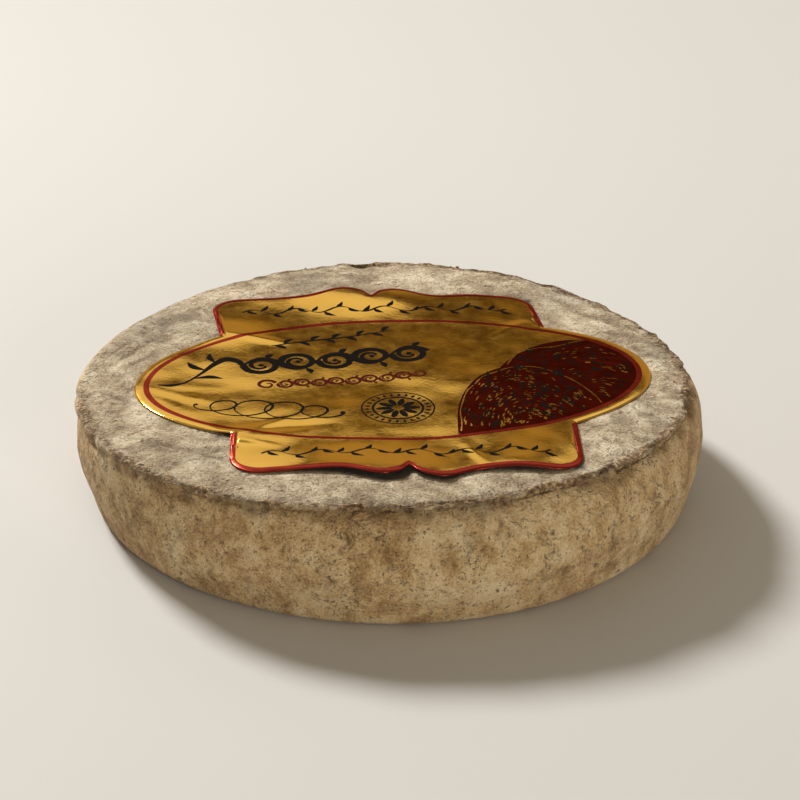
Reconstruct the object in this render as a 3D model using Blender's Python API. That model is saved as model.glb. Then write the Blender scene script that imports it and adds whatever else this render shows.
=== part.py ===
"""A farmhouse saint-nectaire: a low, slightly uneven wheel of ripened cheese with a foil label lying on it.

The frame has its origin under the middle of the wheel, on the surface it rests on, with +Z up.
-Y is the side where the label's lower banner lies. All lengths are in metres.
"""

import math

import bpy
from mathutils import Vector, geometry, noise

# The wheel as it was moulded and pressed: a flat base, a round heel, a belly and a flat top.
BASE_RADIUS = 0.0985
HEEL_RADIUS = 0.1045
HEEL_HEIGHT = 0.0065
BELLY_RADIUS = 0.1082
BELLY_HEIGHT = 0.0220
BELLY_POWER = 1.8
EDGE_RADIUS = 0.1015
TOP_HEIGHT = 0.0412
SHOULDER_WIDTH = 0.0085
SHOULDER_DROP = 0.0011
SHOULDER_START = 0.078
SHOULDER_END = 0.103

# How far ripening and turning have pulled the top edge out of true, and how the top slopes.
# Each wave round the edge: its number of bulges, how far they stand out, the angle of one of them.
EDGE_WAVES = (
    (1, 0.0017, math.radians(180)),
    (2, 0.0026, math.radians(21)),
    (3, 0.0024, math.radians(-24)),
)
TILT = 0.0015
TILT_ANGLE = math.radians(-60)

# The press leaves a torn seam round most of the top edge: a groove with a craggy lip over it.
# On one stretch the edge is worn round instead, and bulges a little.
# Each ring of the edge: how far in from it, how far below the top, its share of the roughness.
EDGE_FOOT = 0.0052
TORN_RINGS = (
    (0.0010, 0.0030, 0.5),
    (0.0002, 0.0016, 1.0),
    (0.0000, 0.0007, 1.0),
    (0.0016, 0.0000, 0.8),
    (0.0034, 0.0005, 0.5),
)
ROUND_RINGS = (
    (-0.0026, 0.0042, 0.1),
    (-0.0021, 0.0028, 0.1),
    (-0.0010, 0.0016, 0.1),
    (0.0009, 0.0008, 0.1),
    (0.0040, 0.0003, 0.1),
)
WORN_ANGLE = math.radians(155)
WORN_HALF = math.radians(40)
WORN_BULGE = 0.0022
CRAG = 0.0009
CRAG_LENGTH = 0.0075
CRAG_RING_STEP = 0.7
FINE_CRAG = 0.5
FINE_CRAG_SCALE = 2.3

# Relief of the rind: how high its swells stand and how long one is.
TOP_SWELL = 0.0006
TOP_SWELL_LENGTH = 0.038
SIDE_SWELL = 0.0008
SIDE_SWELL_LENGTH = 0.030
SIDE_SWELL_SQUASH = 1.6

SEGMENTS = 144
BASE_RINGS = 3
HEEL_RINGS = 3
SIDE_RINGS = 5
TOP_RINGS = 9

# The label: an oval with a banner along each long side, die cut from one paper-backed foil.
LABEL_CENTRE = (0.0012, -0.0052)
LABEL_TURN = math.radians(5.6)
OVAL_HALF_LENGTH = 0.0884
OVAL_HALF_WIDTH = 0.0515
BANNER_HALF_LENGTH = 0.0574
BANNER_REACH = 0.0698
BANNER_CORNER = 0.0105
LOBE_DEPTH = 0.0055
LOBE_PLACE = 0.0095
LOBE_WIDTH = 0.0090
NOTCH_DEPTH = 0.0030
NOTCH_WIDTH = 0.0022

# The cut isn't quite square: how far the banners stand aside of the oval, and their slope to it.
BANNER_SHIFT = -0.0016
BANNER_SLOPE = 0.065
SHIFT_START = 0.034
SHIFT_END = 0.060

LABEL_THICKNESS = 0.0003
LABEL_GAP = 0.0005
LABEL_STEP = 0.0065

# The foil has sprung up from the rind in places, alike on both sides of its long axis.
# Each swell: its place along and out from the axis, its height, its half length and half width.
SWELLS = (
    (-0.010, 0.074, 0.0021, 0.026, 0.016),
    (0.036, 0.072, 0.0012, 0.011, 0.014),
    (-0.056, 0.041, 0.0010, 0.013, 0.008),
)

RIND_COLOUR = (0.33, 0.26, 0.19)
FOIL_COLOUR = (0.72, 0.45, 0.10)


def smoothstep(low, high, value):
    """0 below low, 1 above high and an even slope between them."""
    share = min(1.0, max(0.0, (value - low) / (high - low)))
    return share * share * (3 - 2 * share)


def in_plan(radius, angle):
    """The x and y of a point given by its distance from the middle and its angle."""
    return radius * math.cos(angle), radius * math.sin(angle)


def worn_share(angle):
    """1 in the middle of the worn stretch of the edge, fading to 0 on both sides of it."""
    away = math.remainder(angle - WORN_ANGLE, 2 * math.pi)
    return math.exp(-((away / WORN_HALF) ** 2))


def edge_radius(angle):
    """Distance of the top edge from the middle, at an angle round the wheel."""
    waves = sum(size * math.cos(count * (angle - place)) for count, size, place in EDGE_WAVES)
    return EDGE_RADIUS + waves + WORN_BULGE * worn_share(angle)


def top_height(x, y):
    """Height of the pressed top at a point in plan, with its swells and its falling shoulder."""
    along_tilt = x * math.cos(TILT_ANGLE) + y * math.sin(TILT_ANGLE)
    swell = noise.noise(Vector((x, y, 0.0)) / TOP_SWELL_LENGTH)
    fall = smoothstep(SHOULDER_START, SHOULDER_END, math.hypot(x, y))
    return TOP_HEIGHT + TILT * along_tilt / EDGE_RADIUS + TOP_SWELL * swell - SHOULDER_DROP * fall


def crag(angle, number):
    """Roughness of the torn seam in one of its rings, about -1 to 1. Rings a little apart differ."""
    x, y = in_plan(EDGE_RADIUS / CRAG_LENGTH, angle)
    point = Vector((x, y, number * CRAG_RING_STEP))
    return noise.noise(point) + FINE_CRAG * noise.noise(point * FINE_CRAG_SCALE)


def side_swell(angle, height):
    """Soft dents left by the cloth and by handling, in metres outwards."""
    x, y = in_plan(BELLY_RADIUS, angle)
    point = Vector((x, y, height * SIDE_SWELL_SQUASH)) / SIDE_SWELL_LENGTH
    return SIDE_SWELL * noise.noise(point)


def side_radius(angle, height):
    """The belly: widest at BELLY_HEIGHT, drawn in to the heel below and to the seam above."""
    if height < BELLY_HEIGHT:
        share = (height - HEEL_HEIGHT) / (BELLY_HEIGHT - HEEL_HEIGHT)
        radius = HEEL_RADIUS + (BELLY_RADIUS - HEEL_RADIUS) * math.sin(share * math.pi / 2)
    else:
        share = (height - BELLY_HEIGHT) / (TOP_HEIGHT - BELLY_HEIGHT)
        radius = BELLY_RADIUS + (edge_radius(angle) - BELLY_RADIUS) * share**BELLY_POWER
    return radius + side_swell(angle, height)


def base_point(number, angle):
    """A point of the flat underside."""
    return BASE_RADIUS * (number + 1) / BASE_RINGS, 0.0


def heel_point(number, angle):
    """A point of the rounded lower edge."""
    turn = math.pi / 2 * (number + 1) / HEEL_RINGS
    height = HEEL_HEIGHT * (1 - math.cos(turn))
    radius = BASE_RADIUS + (HEEL_RADIUS - BASE_RADIUS) * math.sin(turn)
    return radius + side_swell(angle, height) * math.sin(turn), height


def side_point(number, angle):
    """A point of the side, between the heel and the foot of the seam."""
    foot = top_height(*in_plan(EDGE_RADIUS, angle)) - EDGE_FOOT
    height = HEEL_HEIGHT + (foot - HEEL_HEIGHT) * (number + 1) / SIDE_RINGS
    return side_radius(angle, height), height


def edge_point(number, angle):
    """A point of the top edge: of the groove and its craggy lip, or of the worn stretch."""
    worn = worn_share(angle)
    pairs = zip(TORN_RINGS[number], ROUND_RINGS[number])
    inwards, drop, share = (torn + worn * (smooth - torn) for torn, smooth in pairs)
    rough = CRAG * share * crag(angle, number)
    radius = edge_radius(angle) - inwards + rough
    return radius, top_height(*in_plan(radius, angle)) - drop + rough / 2


def top_point(number, angle):
    """A point of the top, from the shoulder inwards."""
    radius = (edge_radius(angle) - SHOULDER_WIDTH) * (1 - number / TOP_RINGS)
    return radius, top_height(*in_plan(radius, angle))


def wheel_mesh():
    """The wheel as rings of points from the middle of its base to the middle of its top."""
    sections = (
        (base_point, BASE_RINGS),
        (heel_point, HEEL_RINGS),
        (side_point, SIDE_RINGS),
        (edge_point, len(TORN_RINGS)),
        (top_point, TOP_RINGS),
    )
    points = [(0.0, 0.0, 0.0)]
    for section, count in sections:
        for number in range(count):
            for segment in range(SEGMENTS):
                angle = 2 * math.pi * segment / SEGMENTS
                radius, height = section(number, angle)
                points.append((*in_plan(radius, angle), height))
    points.append((0.0, 0.0, top_height(0.0, 0.0)))
    pole = len(points) - 1
    last = (pole - 1) // SEGMENTS - 1

    def at(ring, segment):
        return 1 + ring * SEGMENTS + segment % SEGMENTS

    faces = []
    for segment in range(SEGMENTS):
        faces.append((0, at(0, segment + 1), at(0, segment)))
        faces.append((pole, at(last, segment), at(last, segment + 1)))
        for ring in range(last):
            corner = at(ring + 1, segment + 1)
            faces.append((at(ring, segment), at(ring, segment + 1), corner))
            faces.append((at(ring, segment), corner, at(ring + 1, segment)))
    return points, faces


def banner_reach(along):
    """How far a banner's long edge lies from the label's middle: two lobes with a notch between."""
    distance = abs(along)
    lobe = LOBE_DEPTH * math.exp(-(((distance - LOBE_PLACE) / LOBE_WIDTH) ** 2))
    notch = NOTCH_DEPTH * math.exp(-((distance / NOTCH_WIDTH) ** 2))
    return BANNER_REACH + lobe - notch


def quarter_outline(arc_steps=12, corner_steps=4, long_steps=17):
    """The outline's quarter with both coordinates positive, from the oval's tip to the notch."""
    points = []
    end = math.acos(BANNER_HALF_LENGTH / OVAL_HALF_LENGTH)
    for step in range(arc_steps + 1):
        turn = end * step / arc_steps
        points.append((OVAL_HALF_LENGTH * math.cos(turn), OVAL_HALF_WIDTH * math.sin(turn)))
    corner_along = BANNER_HALF_LENGTH - BANNER_CORNER
    corner_out = banner_reach(corner_along) - BANNER_CORNER
    for step in range(corner_steps + 1):
        along, out = in_plan(BANNER_CORNER, math.pi / 2 * step / corner_steps)
        points.append((corner_along + along, corner_out + out))
    for step in range(1, long_steps + 1):
        along = corner_along * (1 - step / long_steps)
        points.append((along, banner_reach(along)))
    return points


def label_outline():
    """The whole outline, anticlockwise, mirrored from its quarter."""
    quarter = quarter_outline()
    upper = quarter + [(-u, v) for u, v in reversed(quarter[:-1])]
    return upper + [(u, -v) for u, v in reversed(upper[1:-1])]


def inside_label(u, v, margin):
    """True where a point is on the label and further than margin from its edge."""
    if abs(u) > BANNER_HALF_LENGTH - margin:
        return math.hypot(u / (OVAL_HALF_LENGTH - margin), v / (OVAL_HALF_WIDTH - margin)) < 1
    corner_along = BANNER_HALF_LENGTH - BANNER_CORNER
    past_u = abs(u) - corner_along
    past_v = abs(v) - (banner_reach(corner_along) - BANNER_CORNER)
    if past_u > 0 and past_v > 0:
        return math.hypot(past_u, past_v) < BANNER_CORNER - margin
    return abs(v) < banner_reach(u) - margin


def label_place(u, v):
    """The point in plan that a point of the flat label lies over."""
    share = smoothstep(SHIFT_START, SHIFT_END, abs(v))
    u, v = u + BANNER_SHIFT * share, v - BANNER_SLOPE * u * share
    c, s = math.cos(LABEL_TURN), math.sin(LABEL_TURN)
    return LABEL_CENTRE[0] + u * c - v * s, LABEL_CENTRE[1] + u * s + v * c


def label_lift(u, v):
    """How far the foil has sprung up from the rind."""
    lift = 0.0
    for along, out, height, half_length, half_width in SWELLS:
        away = math.hypot((u - along) / half_length, (abs(v) - out) / half_width)
        lift += height * math.exp(-(away**2))
    return lift


def label_mesh():
    """The label as one wavy sheet of near-even triangles that lies over the top of the wheel."""
    flat = [Vector(point) for point in label_outline()]
    edges = [(n, (n + 1) % len(flat)) for n in range(len(flat))]
    row_step = LABEL_STEP * math.sqrt(3) / 2
    rows = math.ceil((BANNER_REACH + LOBE_DEPTH) / row_step)
    columns = math.ceil(OVAL_HALF_LENGTH / LABEL_STEP)
    for row in range(-rows, rows + 1):
        for column in range(-columns, columns + 1):
            u, v = (column + row % 2 / 2) * LABEL_STEP, row * row_step
            if inside_label(u, v, LABEL_STEP / 2):
                flat.append(Vector((u, v)))
    keep_inside, near = 1, 1e-7
    flat, _, triangles, *_ = geometry.delaunay_2d_cdt(flat, edges, [], keep_inside, near)
    points = []
    for u, v in flat:
        x, y = label_place(u, v)
        points.append((x, y, top_height(x, y) + LABEL_GAP + label_lift(u, v)))
    return points, triangles


def plain_material(name, colour, roughness, metallic):
    """One Principled finish."""
    material = bpy.data.materials.new(name)
    material.use_nodes = True
    surface = material.node_tree.nodes["Principled BSDF"]
    surface.inputs["Base Color"].default_value = (*colour, 1.0)
    surface.inputs["Roughness"].default_value = roughness
    surface.inputs["Metallic"].default_value = metallic
    return material


def add_piece(name, points, faces, material):
    """A named, smoothly shaded object from points and faces, with one material."""
    mesh = bpy.data.meshes.new(name)
    mesh.from_pydata(points, [], faces)
    mesh.update()
    mesh.shade_smooth()
    mesh.set_sharp_from_angle(angle=math.radians(40))
    mesh.materials.append(material)
    piece = bpy.data.objects.new(name, mesh)
    bpy.context.scene.collection.objects.link(piece)
    return piece


def main():
    for old in list(bpy.data.objects):
        bpy.data.objects.remove(old)
    rind = plain_material("rind", RIND_COLOUR, roughness=0.9, metallic=0.0)
    foil = plain_material("gold_foil", FOIL_COLOUR, roughness=0.3, metallic=1.0)
    add_piece("cheese_wheel", *wheel_mesh(), rind)
    label = add_piece("label", *label_mesh(), foil)
    thickness = label.modifiers.new("thickness", "SOLIDIFY")
    thickness.thickness = LABEL_THICKNESS
    thickness.offset = 1.0


main()
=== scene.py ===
"""A farmhouse saint-nectaire wheel: its mould-grown rind, its torn seam and its foil label.

Lengths are in metres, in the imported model's frame: the origin is under the middle of the
wheel, +Z is up and -Y is the side where the label's lower banner lies.
"""

import math
from functools import partial
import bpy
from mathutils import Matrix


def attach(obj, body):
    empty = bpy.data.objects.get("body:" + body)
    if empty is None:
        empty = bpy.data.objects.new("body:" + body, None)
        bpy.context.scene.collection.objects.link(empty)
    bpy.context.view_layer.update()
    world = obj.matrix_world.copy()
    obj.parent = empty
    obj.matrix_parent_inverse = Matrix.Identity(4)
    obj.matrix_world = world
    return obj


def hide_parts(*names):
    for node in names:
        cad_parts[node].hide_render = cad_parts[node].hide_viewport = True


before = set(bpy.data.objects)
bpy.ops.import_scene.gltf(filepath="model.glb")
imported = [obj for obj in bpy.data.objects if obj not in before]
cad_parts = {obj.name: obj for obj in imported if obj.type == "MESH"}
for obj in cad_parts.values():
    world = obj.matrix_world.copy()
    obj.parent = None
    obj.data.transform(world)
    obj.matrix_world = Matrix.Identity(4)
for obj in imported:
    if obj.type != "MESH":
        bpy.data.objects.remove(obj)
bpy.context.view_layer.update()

from types import SimpleNamespace

import bpy
import numpy as np
from mathutils import Matrix, Vector, geometry, kdtree, noise

bl_info = {
    "name": "Saint-nectaire wheel",
    "version": (1, 0, 0),
    "blender": (4, 5, 0),
    "location": "View3D > Sidebar > Cheese",
    "description": "Makes a ripened cheese wheel with its rind, its seam and its foil label",
    "category": "Add Mesh",
}

MM = 0.001

# The wheel's form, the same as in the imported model.
BASE_RADIUS = 0.0985
HEEL_RADIUS = 0.1045
HEEL_HEIGHT = 0.0065
BELLY_RADIUS = 0.1082
BELLY_HEIGHT = 0.0220
BELLY_POWER = 1.8
EDGE_RADIUS = 0.1015
TOP_HEIGHT = 0.0412
SHOULDER_WIDTH = 0.0085
SHOULDER_DROP = 0.0011
SHOULDER_START = 0.078
SHOULDER_END = 0.103
# The edge is out of round: the number of waves, how far out they go, and at what angle.
EDGE_WAVES = (
    (1, 0.0017, math.radians(180)),
    (2, 0.0026, math.radians(21)),
    (3, 0.0024, math.radians(-24)),
)
TILT = 0.0015
TILT_ANGLE = math.radians(-60)
EDGE_FOOT = 0.0052
# Rings of the edge from below its lip to above it, first torn and then worn round: how far in
# they lie, how far down, and their share of the crags.
TORN_RINGS = (
    (0.0010, 0.0030, 0.5),
    (0.0002, 0.0016, 1.0),
    (0.0000, 0.0007, 1.0),
    (0.0016, 0.0000, 0.8),
    (0.0034, 0.0005, 0.5),
)
ROUND_RINGS = (
    (-0.0026, 0.0042, 0.1),
    (-0.0021, 0.0028, 0.1),
    (-0.0010, 0.0016, 0.1),
    (0.0009, 0.0008, 0.1),
    (0.0040, 0.0003, 0.1),
)
# The worn stretch of the edge: where its middle is, half its span, and how far out it bulges.
WORN_ANGLE = math.radians(155)
WORN_HALF = math.radians(40)
WORN_BULGE = 0.0022
CRAG = 0.0009
CRAG_LENGTH = 0.0075
CRAG_RING_STEP = 0.7
FINE_CRAG = 0.5
FINE_CRAG_SCALE = 2.3
TOP_SWELL = 0.0006
TOP_SWELL_LENGTH = 0.038
SIDE_SWELL = 0.0008
SIDE_SWELL_LENGTH = 0.030
SIDE_SWELL_SQUASH = 1.6

# The label's form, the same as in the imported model.
LABEL_CENTRE = (0.0012, -0.0052)
LABEL_TURN = math.radians(5.6)
OVAL_HALF_LENGTH = 0.0884
OVAL_HALF_WIDTH = 0.0515
BANNER_HALF_LENGTH = 0.0574
BANNER_REACH = 0.0698
BANNER_CORNER = 0.0105
LOBE_DEPTH = 0.0055
LOBE_PLACE = 0.0095
LOBE_WIDTH = 0.0090
NOTCH_DEPTH = 0.0030
NOTCH_WIDTH = 0.0022
BANNER_SHIFT = -0.0016
BANNER_SLOPE = 0.065
SHIFT_START = 0.034
SHIFT_END = 0.060
LABEL_THICKNESS = 0.0003
LABEL_GAP = 0.0005
# Where the foil has sprung up: along, out, height, half length and half width.
SWELLS = (
    (-0.010, 0.074, 0.0021, 0.026, 0.016),
    (0.036, 0.072, 0.0012, 0.011, 0.014),
    (-0.056, 0.041, 0.0010, 0.013, 0.008),
)

# How finely the wheel is divided: columns round it, and rings in each part of its profile.
COLUMNS = 864
HEEL_RINGS = 7
SIDE_RINGS = 30
EDGE_STEPS = (3, 3, 2, 3, 3, 5)
# Bands of a disc from its rim: every how many columns, the share of the radius where the band
# ends, and its rings.
TOP_BANDS = ((1, 0.66, 30), (2, 0.38, 18), (4, 0.20, 9), (8, 0.03, 8))
BASE_BANDS = ((1, 0.93, 4), (4, 0.60, 4), (8, 0.03, 6))

# Folds that the pressing cloth left in the top: from, to, depth, half width.
FOLDS = (
    ((-0.079, -0.050), (-0.066, -0.0585), 0.00055, 0.0011),
    ((-0.066, -0.0585), (-0.052, -0.067), 0.00050, 0.0012),
    ((-0.098, -0.012), (-0.086, -0.024), 0.00035, 0.0012),
    ((-0.097, 0.008), (-0.083, 0.029), 0.00040, 0.0010),
    ((-0.092, 0.004), (-0.080, 0.020), 0.00030, 0.0009),
    ((-0.099, 0.016), (-0.090, 0.030), 0.00025, 0.0008),
)


def linear(code):
    """The linear RGB of an sRGB hex colour."""
    parts = (int(code[n : n + 2], 16) / 255 for n in (1, 3, 5))
    return tuple(c / 12.92 if c <= 0.04045 else ((c + 0.055) / 1.055) ** 2.4 for c in parts)


def smoothstep(low, high, value):
    """0 below low, 1 above high and an even slope between them."""
    share = min(1.0, max(0.0, (value - low) / (high - low)))
    return share * share * (3 - 2 * share)


def soft_steps(low, high, values):
    """smoothstep for a whole array."""
    share = np.clip((values - low) / (high - low), 0.0, 1.0)
    return share * share * (3 - 2 * share)


def in_plan(radius, angle):
    """The x and y of a point given by its distance from the middle and its angle."""
    return radius * math.cos(angle), radius * math.sin(angle)


def worn_share(angle):
    """1 in the middle of the worn stretch of the edge, fading to 0 on both sides of it."""
    away = math.remainder(angle - WORN_ANGLE, 2 * math.pi)
    return math.exp(-((away / WORN_HALF) ** 2))


def edge_radius(angle):
    """Distance of the top edge from the middle, at an angle round the wheel."""
    waves = sum(size * math.cos(count * (angle - place)) for count, size, place in EDGE_WAVES)
    return EDGE_RADIUS + waves + WORN_BULGE * worn_share(angle)


def top_height(x, y):
    """Height of the pressed top at a point in plan, with its swells and its falling shoulder."""
    along_tilt = x * math.cos(TILT_ANGLE) + y * math.sin(TILT_ANGLE)
    swell = noise.noise(Vector((x, y, 0.0)) / TOP_SWELL_LENGTH)
    fall = smoothstep(SHOULDER_START, SHOULDER_END, math.hypot(x, y))
    return TOP_HEIGHT + TILT * along_tilt / EDGE_RADIUS + TOP_SWELL * swell - SHOULDER_DROP * fall


def crag(angle, number):
    """Roughness of the torn seam in one of its rings, about -1 to 1."""
    x, y = in_plan(EDGE_RADIUS / CRAG_LENGTH, angle)
    point = Vector((x, y, number * CRAG_RING_STEP))
    return noise.noise(point) + FINE_CRAG * noise.noise(point * FINE_CRAG_SCALE)


def side_swell(angle, height):
    """Soft dents left by the cloth and by handling, in metres outwards."""
    x, y = in_plan(BELLY_RADIUS, angle)
    point = Vector((x, y, height * SIDE_SWELL_SQUASH)) / SIDE_SWELL_LENGTH
    return SIDE_SWELL * noise.noise(point)


def side_radius(angle, height):
    """The belly: widest at BELLY_HEIGHT, drawn in to the heel below and to the seam above."""
    if height < BELLY_HEIGHT:
        share = (height - HEEL_HEIGHT) / (BELLY_HEIGHT - HEEL_HEIGHT)
        radius = HEEL_RADIUS + (BELLY_RADIUS - HEEL_RADIUS) * math.sin(share * math.pi / 2)
    else:
        share = (height - BELLY_HEIGHT) / (TOP_HEIGHT - BELLY_HEIGHT)
        radius = BELLY_RADIUS + (edge_radius(angle) - BELLY_RADIUS) * share**BELLY_POWER
    return radius + side_swell(angle, height)


def heel_point(share, angle):
    """A point of the rounded lower edge."""
    turn = math.pi / 2 * share
    height = HEEL_HEIGHT * (1 - math.cos(turn))
    radius = BASE_RADIUS + (HEEL_RADIUS - BASE_RADIUS) * math.sin(turn)
    return radius + side_swell(angle, height) * math.sin(turn), height


def side_foot(angle):
    """Height of the foot of the seam."""
    return top_height(*in_plan(EDGE_RADIUS, angle)) - EDGE_FOOT


def side_point(share, angle):
    """A point of the side, between the heel and the foot of the seam."""
    height = HEEL_HEIGHT + (side_foot(angle) - HEEL_HEIGHT) * share
    return side_radius(angle, height), height


def edge_point(number, angle):
    """A point of the top edge: of the groove and its craggy lip, or of the worn stretch."""
    worn = worn_share(angle)
    pairs = zip(TORN_RINGS[number], ROUND_RINGS[number])
    inwards, drop, share = (torn + worn * (smooth - torn) for torn, smooth in pairs)
    rough = CRAG * share * crag(angle, number)
    radius = edge_radius(angle) - inwards + rough
    return radius, top_height(*in_plan(radius, angle)) - drop + rough / 2


def top_point(share, angle):
    """A point of the top, from the middle to the shoulder."""
    radius = (edge_radius(angle) - SHOULDER_WIDTH) * share
    return radius, top_height(*in_plan(radius, angle))


def through(before, start, end, after, share):
    """A point of the smooth curve from start to end that its neighbours lead into."""
    a, b, c, d = (np.array(point) for point in (before, start, end, after))
    linear_part, square, cube = c - a, 2 * a - 5 * b + 4 * c - d, 3 * b - 3 * c + d - a
    return b + (linear_part * share + square * share**2 + cube * share**3) / 2


def edge_curve(angle):
    """The profile of the edge at one angle, from the foot of the seam up to the shoulder."""
    chain = [side_point(0.85, angle), side_point(1.0, angle)]
    chain += [edge_point(number, angle) for number in range(len(TORN_RINGS))]
    chain += [top_point(1.0, angle), top_point(0.9, angle)]
    points = []
    for span, steps in enumerate(EDGE_STEPS):
        for step in range(1, steps + 1):
            points.append(through(*chain[span : span + 4], step / steps))
    return points


def band_rings(bands, place):
    """Rings from the rim of a disc towards its middle, with fewer columns further in."""
    rings = []
    outer = 1.0
    for skip, inner, count in bands:
        angles = [2 * math.pi * n * skip / COLUMNS for n in range(COLUMNS // skip)]
        for step in range(1, count + 1):
            share = outer + (inner - outer) * step / count
            rings.append([(*place(share, angle), angle) for angle in angles])
        outer = inner
    return rings


def wheel_rings():
    """All rings of the wheel as radius, height and angle, from under its middle to its top."""
    angles = [2 * math.pi * n / COLUMNS for n in range(COLUMNS)]
    rings = band_rings(BASE_BANDS, lambda share, angle: (BASE_RADIUS * share, 0.0))[::-1]
    rings.append([(BASE_RADIUS, 0.0, angle) for angle in angles])
    for step in range(1, HEEL_RINGS + 1):
        rings.append([(*heel_point(step / HEEL_RINGS, angle), angle) for angle in angles])
    for step in range(1, SIDE_RINGS + 1):
        rings.append([(*side_point(step / SIDE_RINGS, angle), angle) for angle in angles])
    edges = [edge_curve(angle) for angle in angles]
    for step in range(sum(EDGE_STEPS)):
        rings.append([(*edge[step], angle) for edge, angle in zip(edges, angles)])
    return rings + band_rings(TOP_BANDS, top_point)


def stitch(low, low_start, high, high_start):
    """Faces between two rings, of which one may have half or a quarter of the columns."""
    faces = []
    fine, coarse = max(low, high), min(low, high)
    ratio = fine // coarse
    fine_start, coarse_start = (low_start, high_start) if low >= high else (high_start, low_start)
    flip = low < high
    for n in range(coarse):
        here = coarse_start + n
        after = coarse_start + (n + 1) % coarse
        row = [fine_start + (n * ratio + k) % fine for k in range(ratio + 1)]
        made = [(row[k], row[k + 1], here) for k in range(ratio // 2)] if ratio > 1 else []
        if ratio > 1:
            made.append((row[ratio // 2], after, here))
            made += [(row[k], row[k + 1], after) for k in range(ratio // 2, ratio)]
        else:
            made.append((row[0], row[1], after, here))
        faces += [face[::-1] for face in made] if flip else made
    return faces


def wheel_mesh():
    """The wheel's smooth form as one closed mesh."""
    rings = wheel_rings()
    points = [(0.0, 0.0, 0.0)]
    starts = []
    for ring in rings:
        starts.append(len(points))
        points += [(*in_plan(radius, angle), height) for radius, height, angle in ring]
    pole = len(points)
    points.append((0.0, 0.0, top_height(0.0, 0.0)))
    faces = []
    for n, (below, above) in enumerate(zip(rings, rings[1:])):
        faces += stitch(len(below), starts[n], len(above), starts[n + 1])
    first, last = len(rings[0]), len(rings[-1])
    faces += [(0, starts[0] + (n + 1) % first, starts[0] + n) for n in range(first)]
    faces += [(pole, starts[-1] + n, starts[-1] + (n + 1) % last) for n in range(last)]
    mesh = bpy.data.meshes.new("cheese_rind")
    mesh.from_pydata(points, [], faces)
    mesh.shade_smooth()
    mesh.update()
    return mesh


def noise_at(points, length, stretch=(1.0, 1.0, 1.0)):
    """Smooth noise at many points, with lumps about length across."""
    scaled = points * (np.array(stretch) / length)
    return np.array([noise.noise(Vector(point)) for point in scaled])


def turned(points, angle):
    """Points turned about the Z axis, so that a direction in plan comes to lie along X."""
    c, s = math.cos(angle), math.sin(angle)
    x, y, z = points.T
    return np.stack([x * c + y * s, y * c - x * s, z], 1)


def groove(points, start, end, half_width):
    """1 on a line between two places in plan, fading beside it and towards its ends."""
    start, end = np.array(start), np.array(end)
    line = end - start
    along = np.clip(((points[:, :2] - start) @ line) / (line @ line), 0.0, 1.0)
    away = np.linalg.norm(points[:, :2] - start - along[:, None] * line, axis=1)
    return np.exp(-((away / half_width) ** 2)) * (0.35 + 0.65 * np.sin(np.pi * along))


# Darker, bluer places on the top, where another mould took hold: middle, radius, strength.
BLOTCHES = (
    ((-0.081, 0.041), 0.013, 0.9),
    ((-0.090, 0.016), 0.009, 0.7),
    ((-0.0755, -0.028), 0.006, 0.6),
    ((-0.062, -0.062), 0.008, 0.5),
    ((0.084, -0.030), 0.010, 0.5),
    ((0.060, 0.070), 0.014, 0.7),
    ((-0.030, 0.082), 0.011, 0.6),
    ((0.095, 0.020), 0.008, 0.6),
)


# The rind's relief: where the top begins, where relief fades out, and its dents, ripples and
# creases. A size is about how far across the lumps are.
TOP_BEGINS = (0.030, 0.040)
EDGE_FADES = (-0.002, 0.004)
BASE_FADES = (0.0002, 0.004)
WARP_SIZE = 0.020
WARP_REACH = 0.005
WARP_APART = 0.31
DENTS_ON_SIDE = 0.7
RIPPLE_TURN = math.radians(-28)
RIPPLE_SIZE = 0.0058
RIPPLE_STRETCH = (0.72, 1.0, 1.0)
RIPPLE_STEEPNESS = 2.4
RIPPLES_LEFT = 0.25
FINE_SIZE = 0.0021
CREASE_SIZE = 0.0035
CREASE_STRETCH = 0.35
CREASE_HEIGHT = 0.00020
# The seam: where its lip lies, how wide its band is, and its fill, ridges and holes.
LIP_INSET = 0.0012
SEAM_WIDTH = 0.0018
SEAM_DROP = 0.0026
SEAM_CLUSTER = 0.011
SEAM_LEAST = 0.45
SEAM_WORN_OFF = 0.93
FILL_DROP = 0.0031
FILL_WIDTH = 0.0014
FILL_FADES = (-0.004, -0.001)
FILL_HEIGHT = 0.00115
FILL_LUMPS = (0.4, 0.006)
RIDGE_SIZE = 0.0036
RIDGE_HEIGHT = 0.00028
TORN_SIZE = 0.0016
TORN_HEIGHT = 0.00028
HOLE_SIZE = (0.0008, 0.0021)
HOLE_INSET = (0.0008, 0.0015)
HOLE_DEPTH = (0.0003, 0.0008)
# A hole this deep gets the full painted shade.
HOLE_FULL_DEPTH = 0.0006
HOLE_LENGTH = 1.9
HOLE_ARC = 0.06
HOLE_REACH_DOWN = 0.006
HOLES_WORN_OFF = 0.9
# The top's pits and the side's cracks, and how strong the painted shade in them is.
PIT_SPREAD = 0.104
PIT_SIZE = (0.0006, 0.0012)
PIT_DEPTH = (0.0002, 0.0005)
PIT_SHADE = 0.7
CRACK_HEIGHT = (0.010, 0.034)
CRACK_REACH = (0.002, 0.007)
CRACK_WANDER = 0.0012
CRACK_WIDTH = 0.0009
CRACK_DEPTH = 0.00035
CRACK_SHADE = 0.75
# Under the label the rind is pressed flat and darkened by painted shade, which reaches out as a
# painted shadow as far as the sprung edge's shadow falls.
PRESS_FADES = (-0.0005, 0.0045)
PRESS_SHARE = 0.7
PRESS_DEPTH = 0.00008
LABEL_SHADE_FADES = (-0.0030, -0.0008)
SHADOW_REACH = 1.6
LABEL_ABOVE = 0.03
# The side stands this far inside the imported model's, so that its relief stays within the box.
SIDE_INSET = 0.00042
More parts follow.
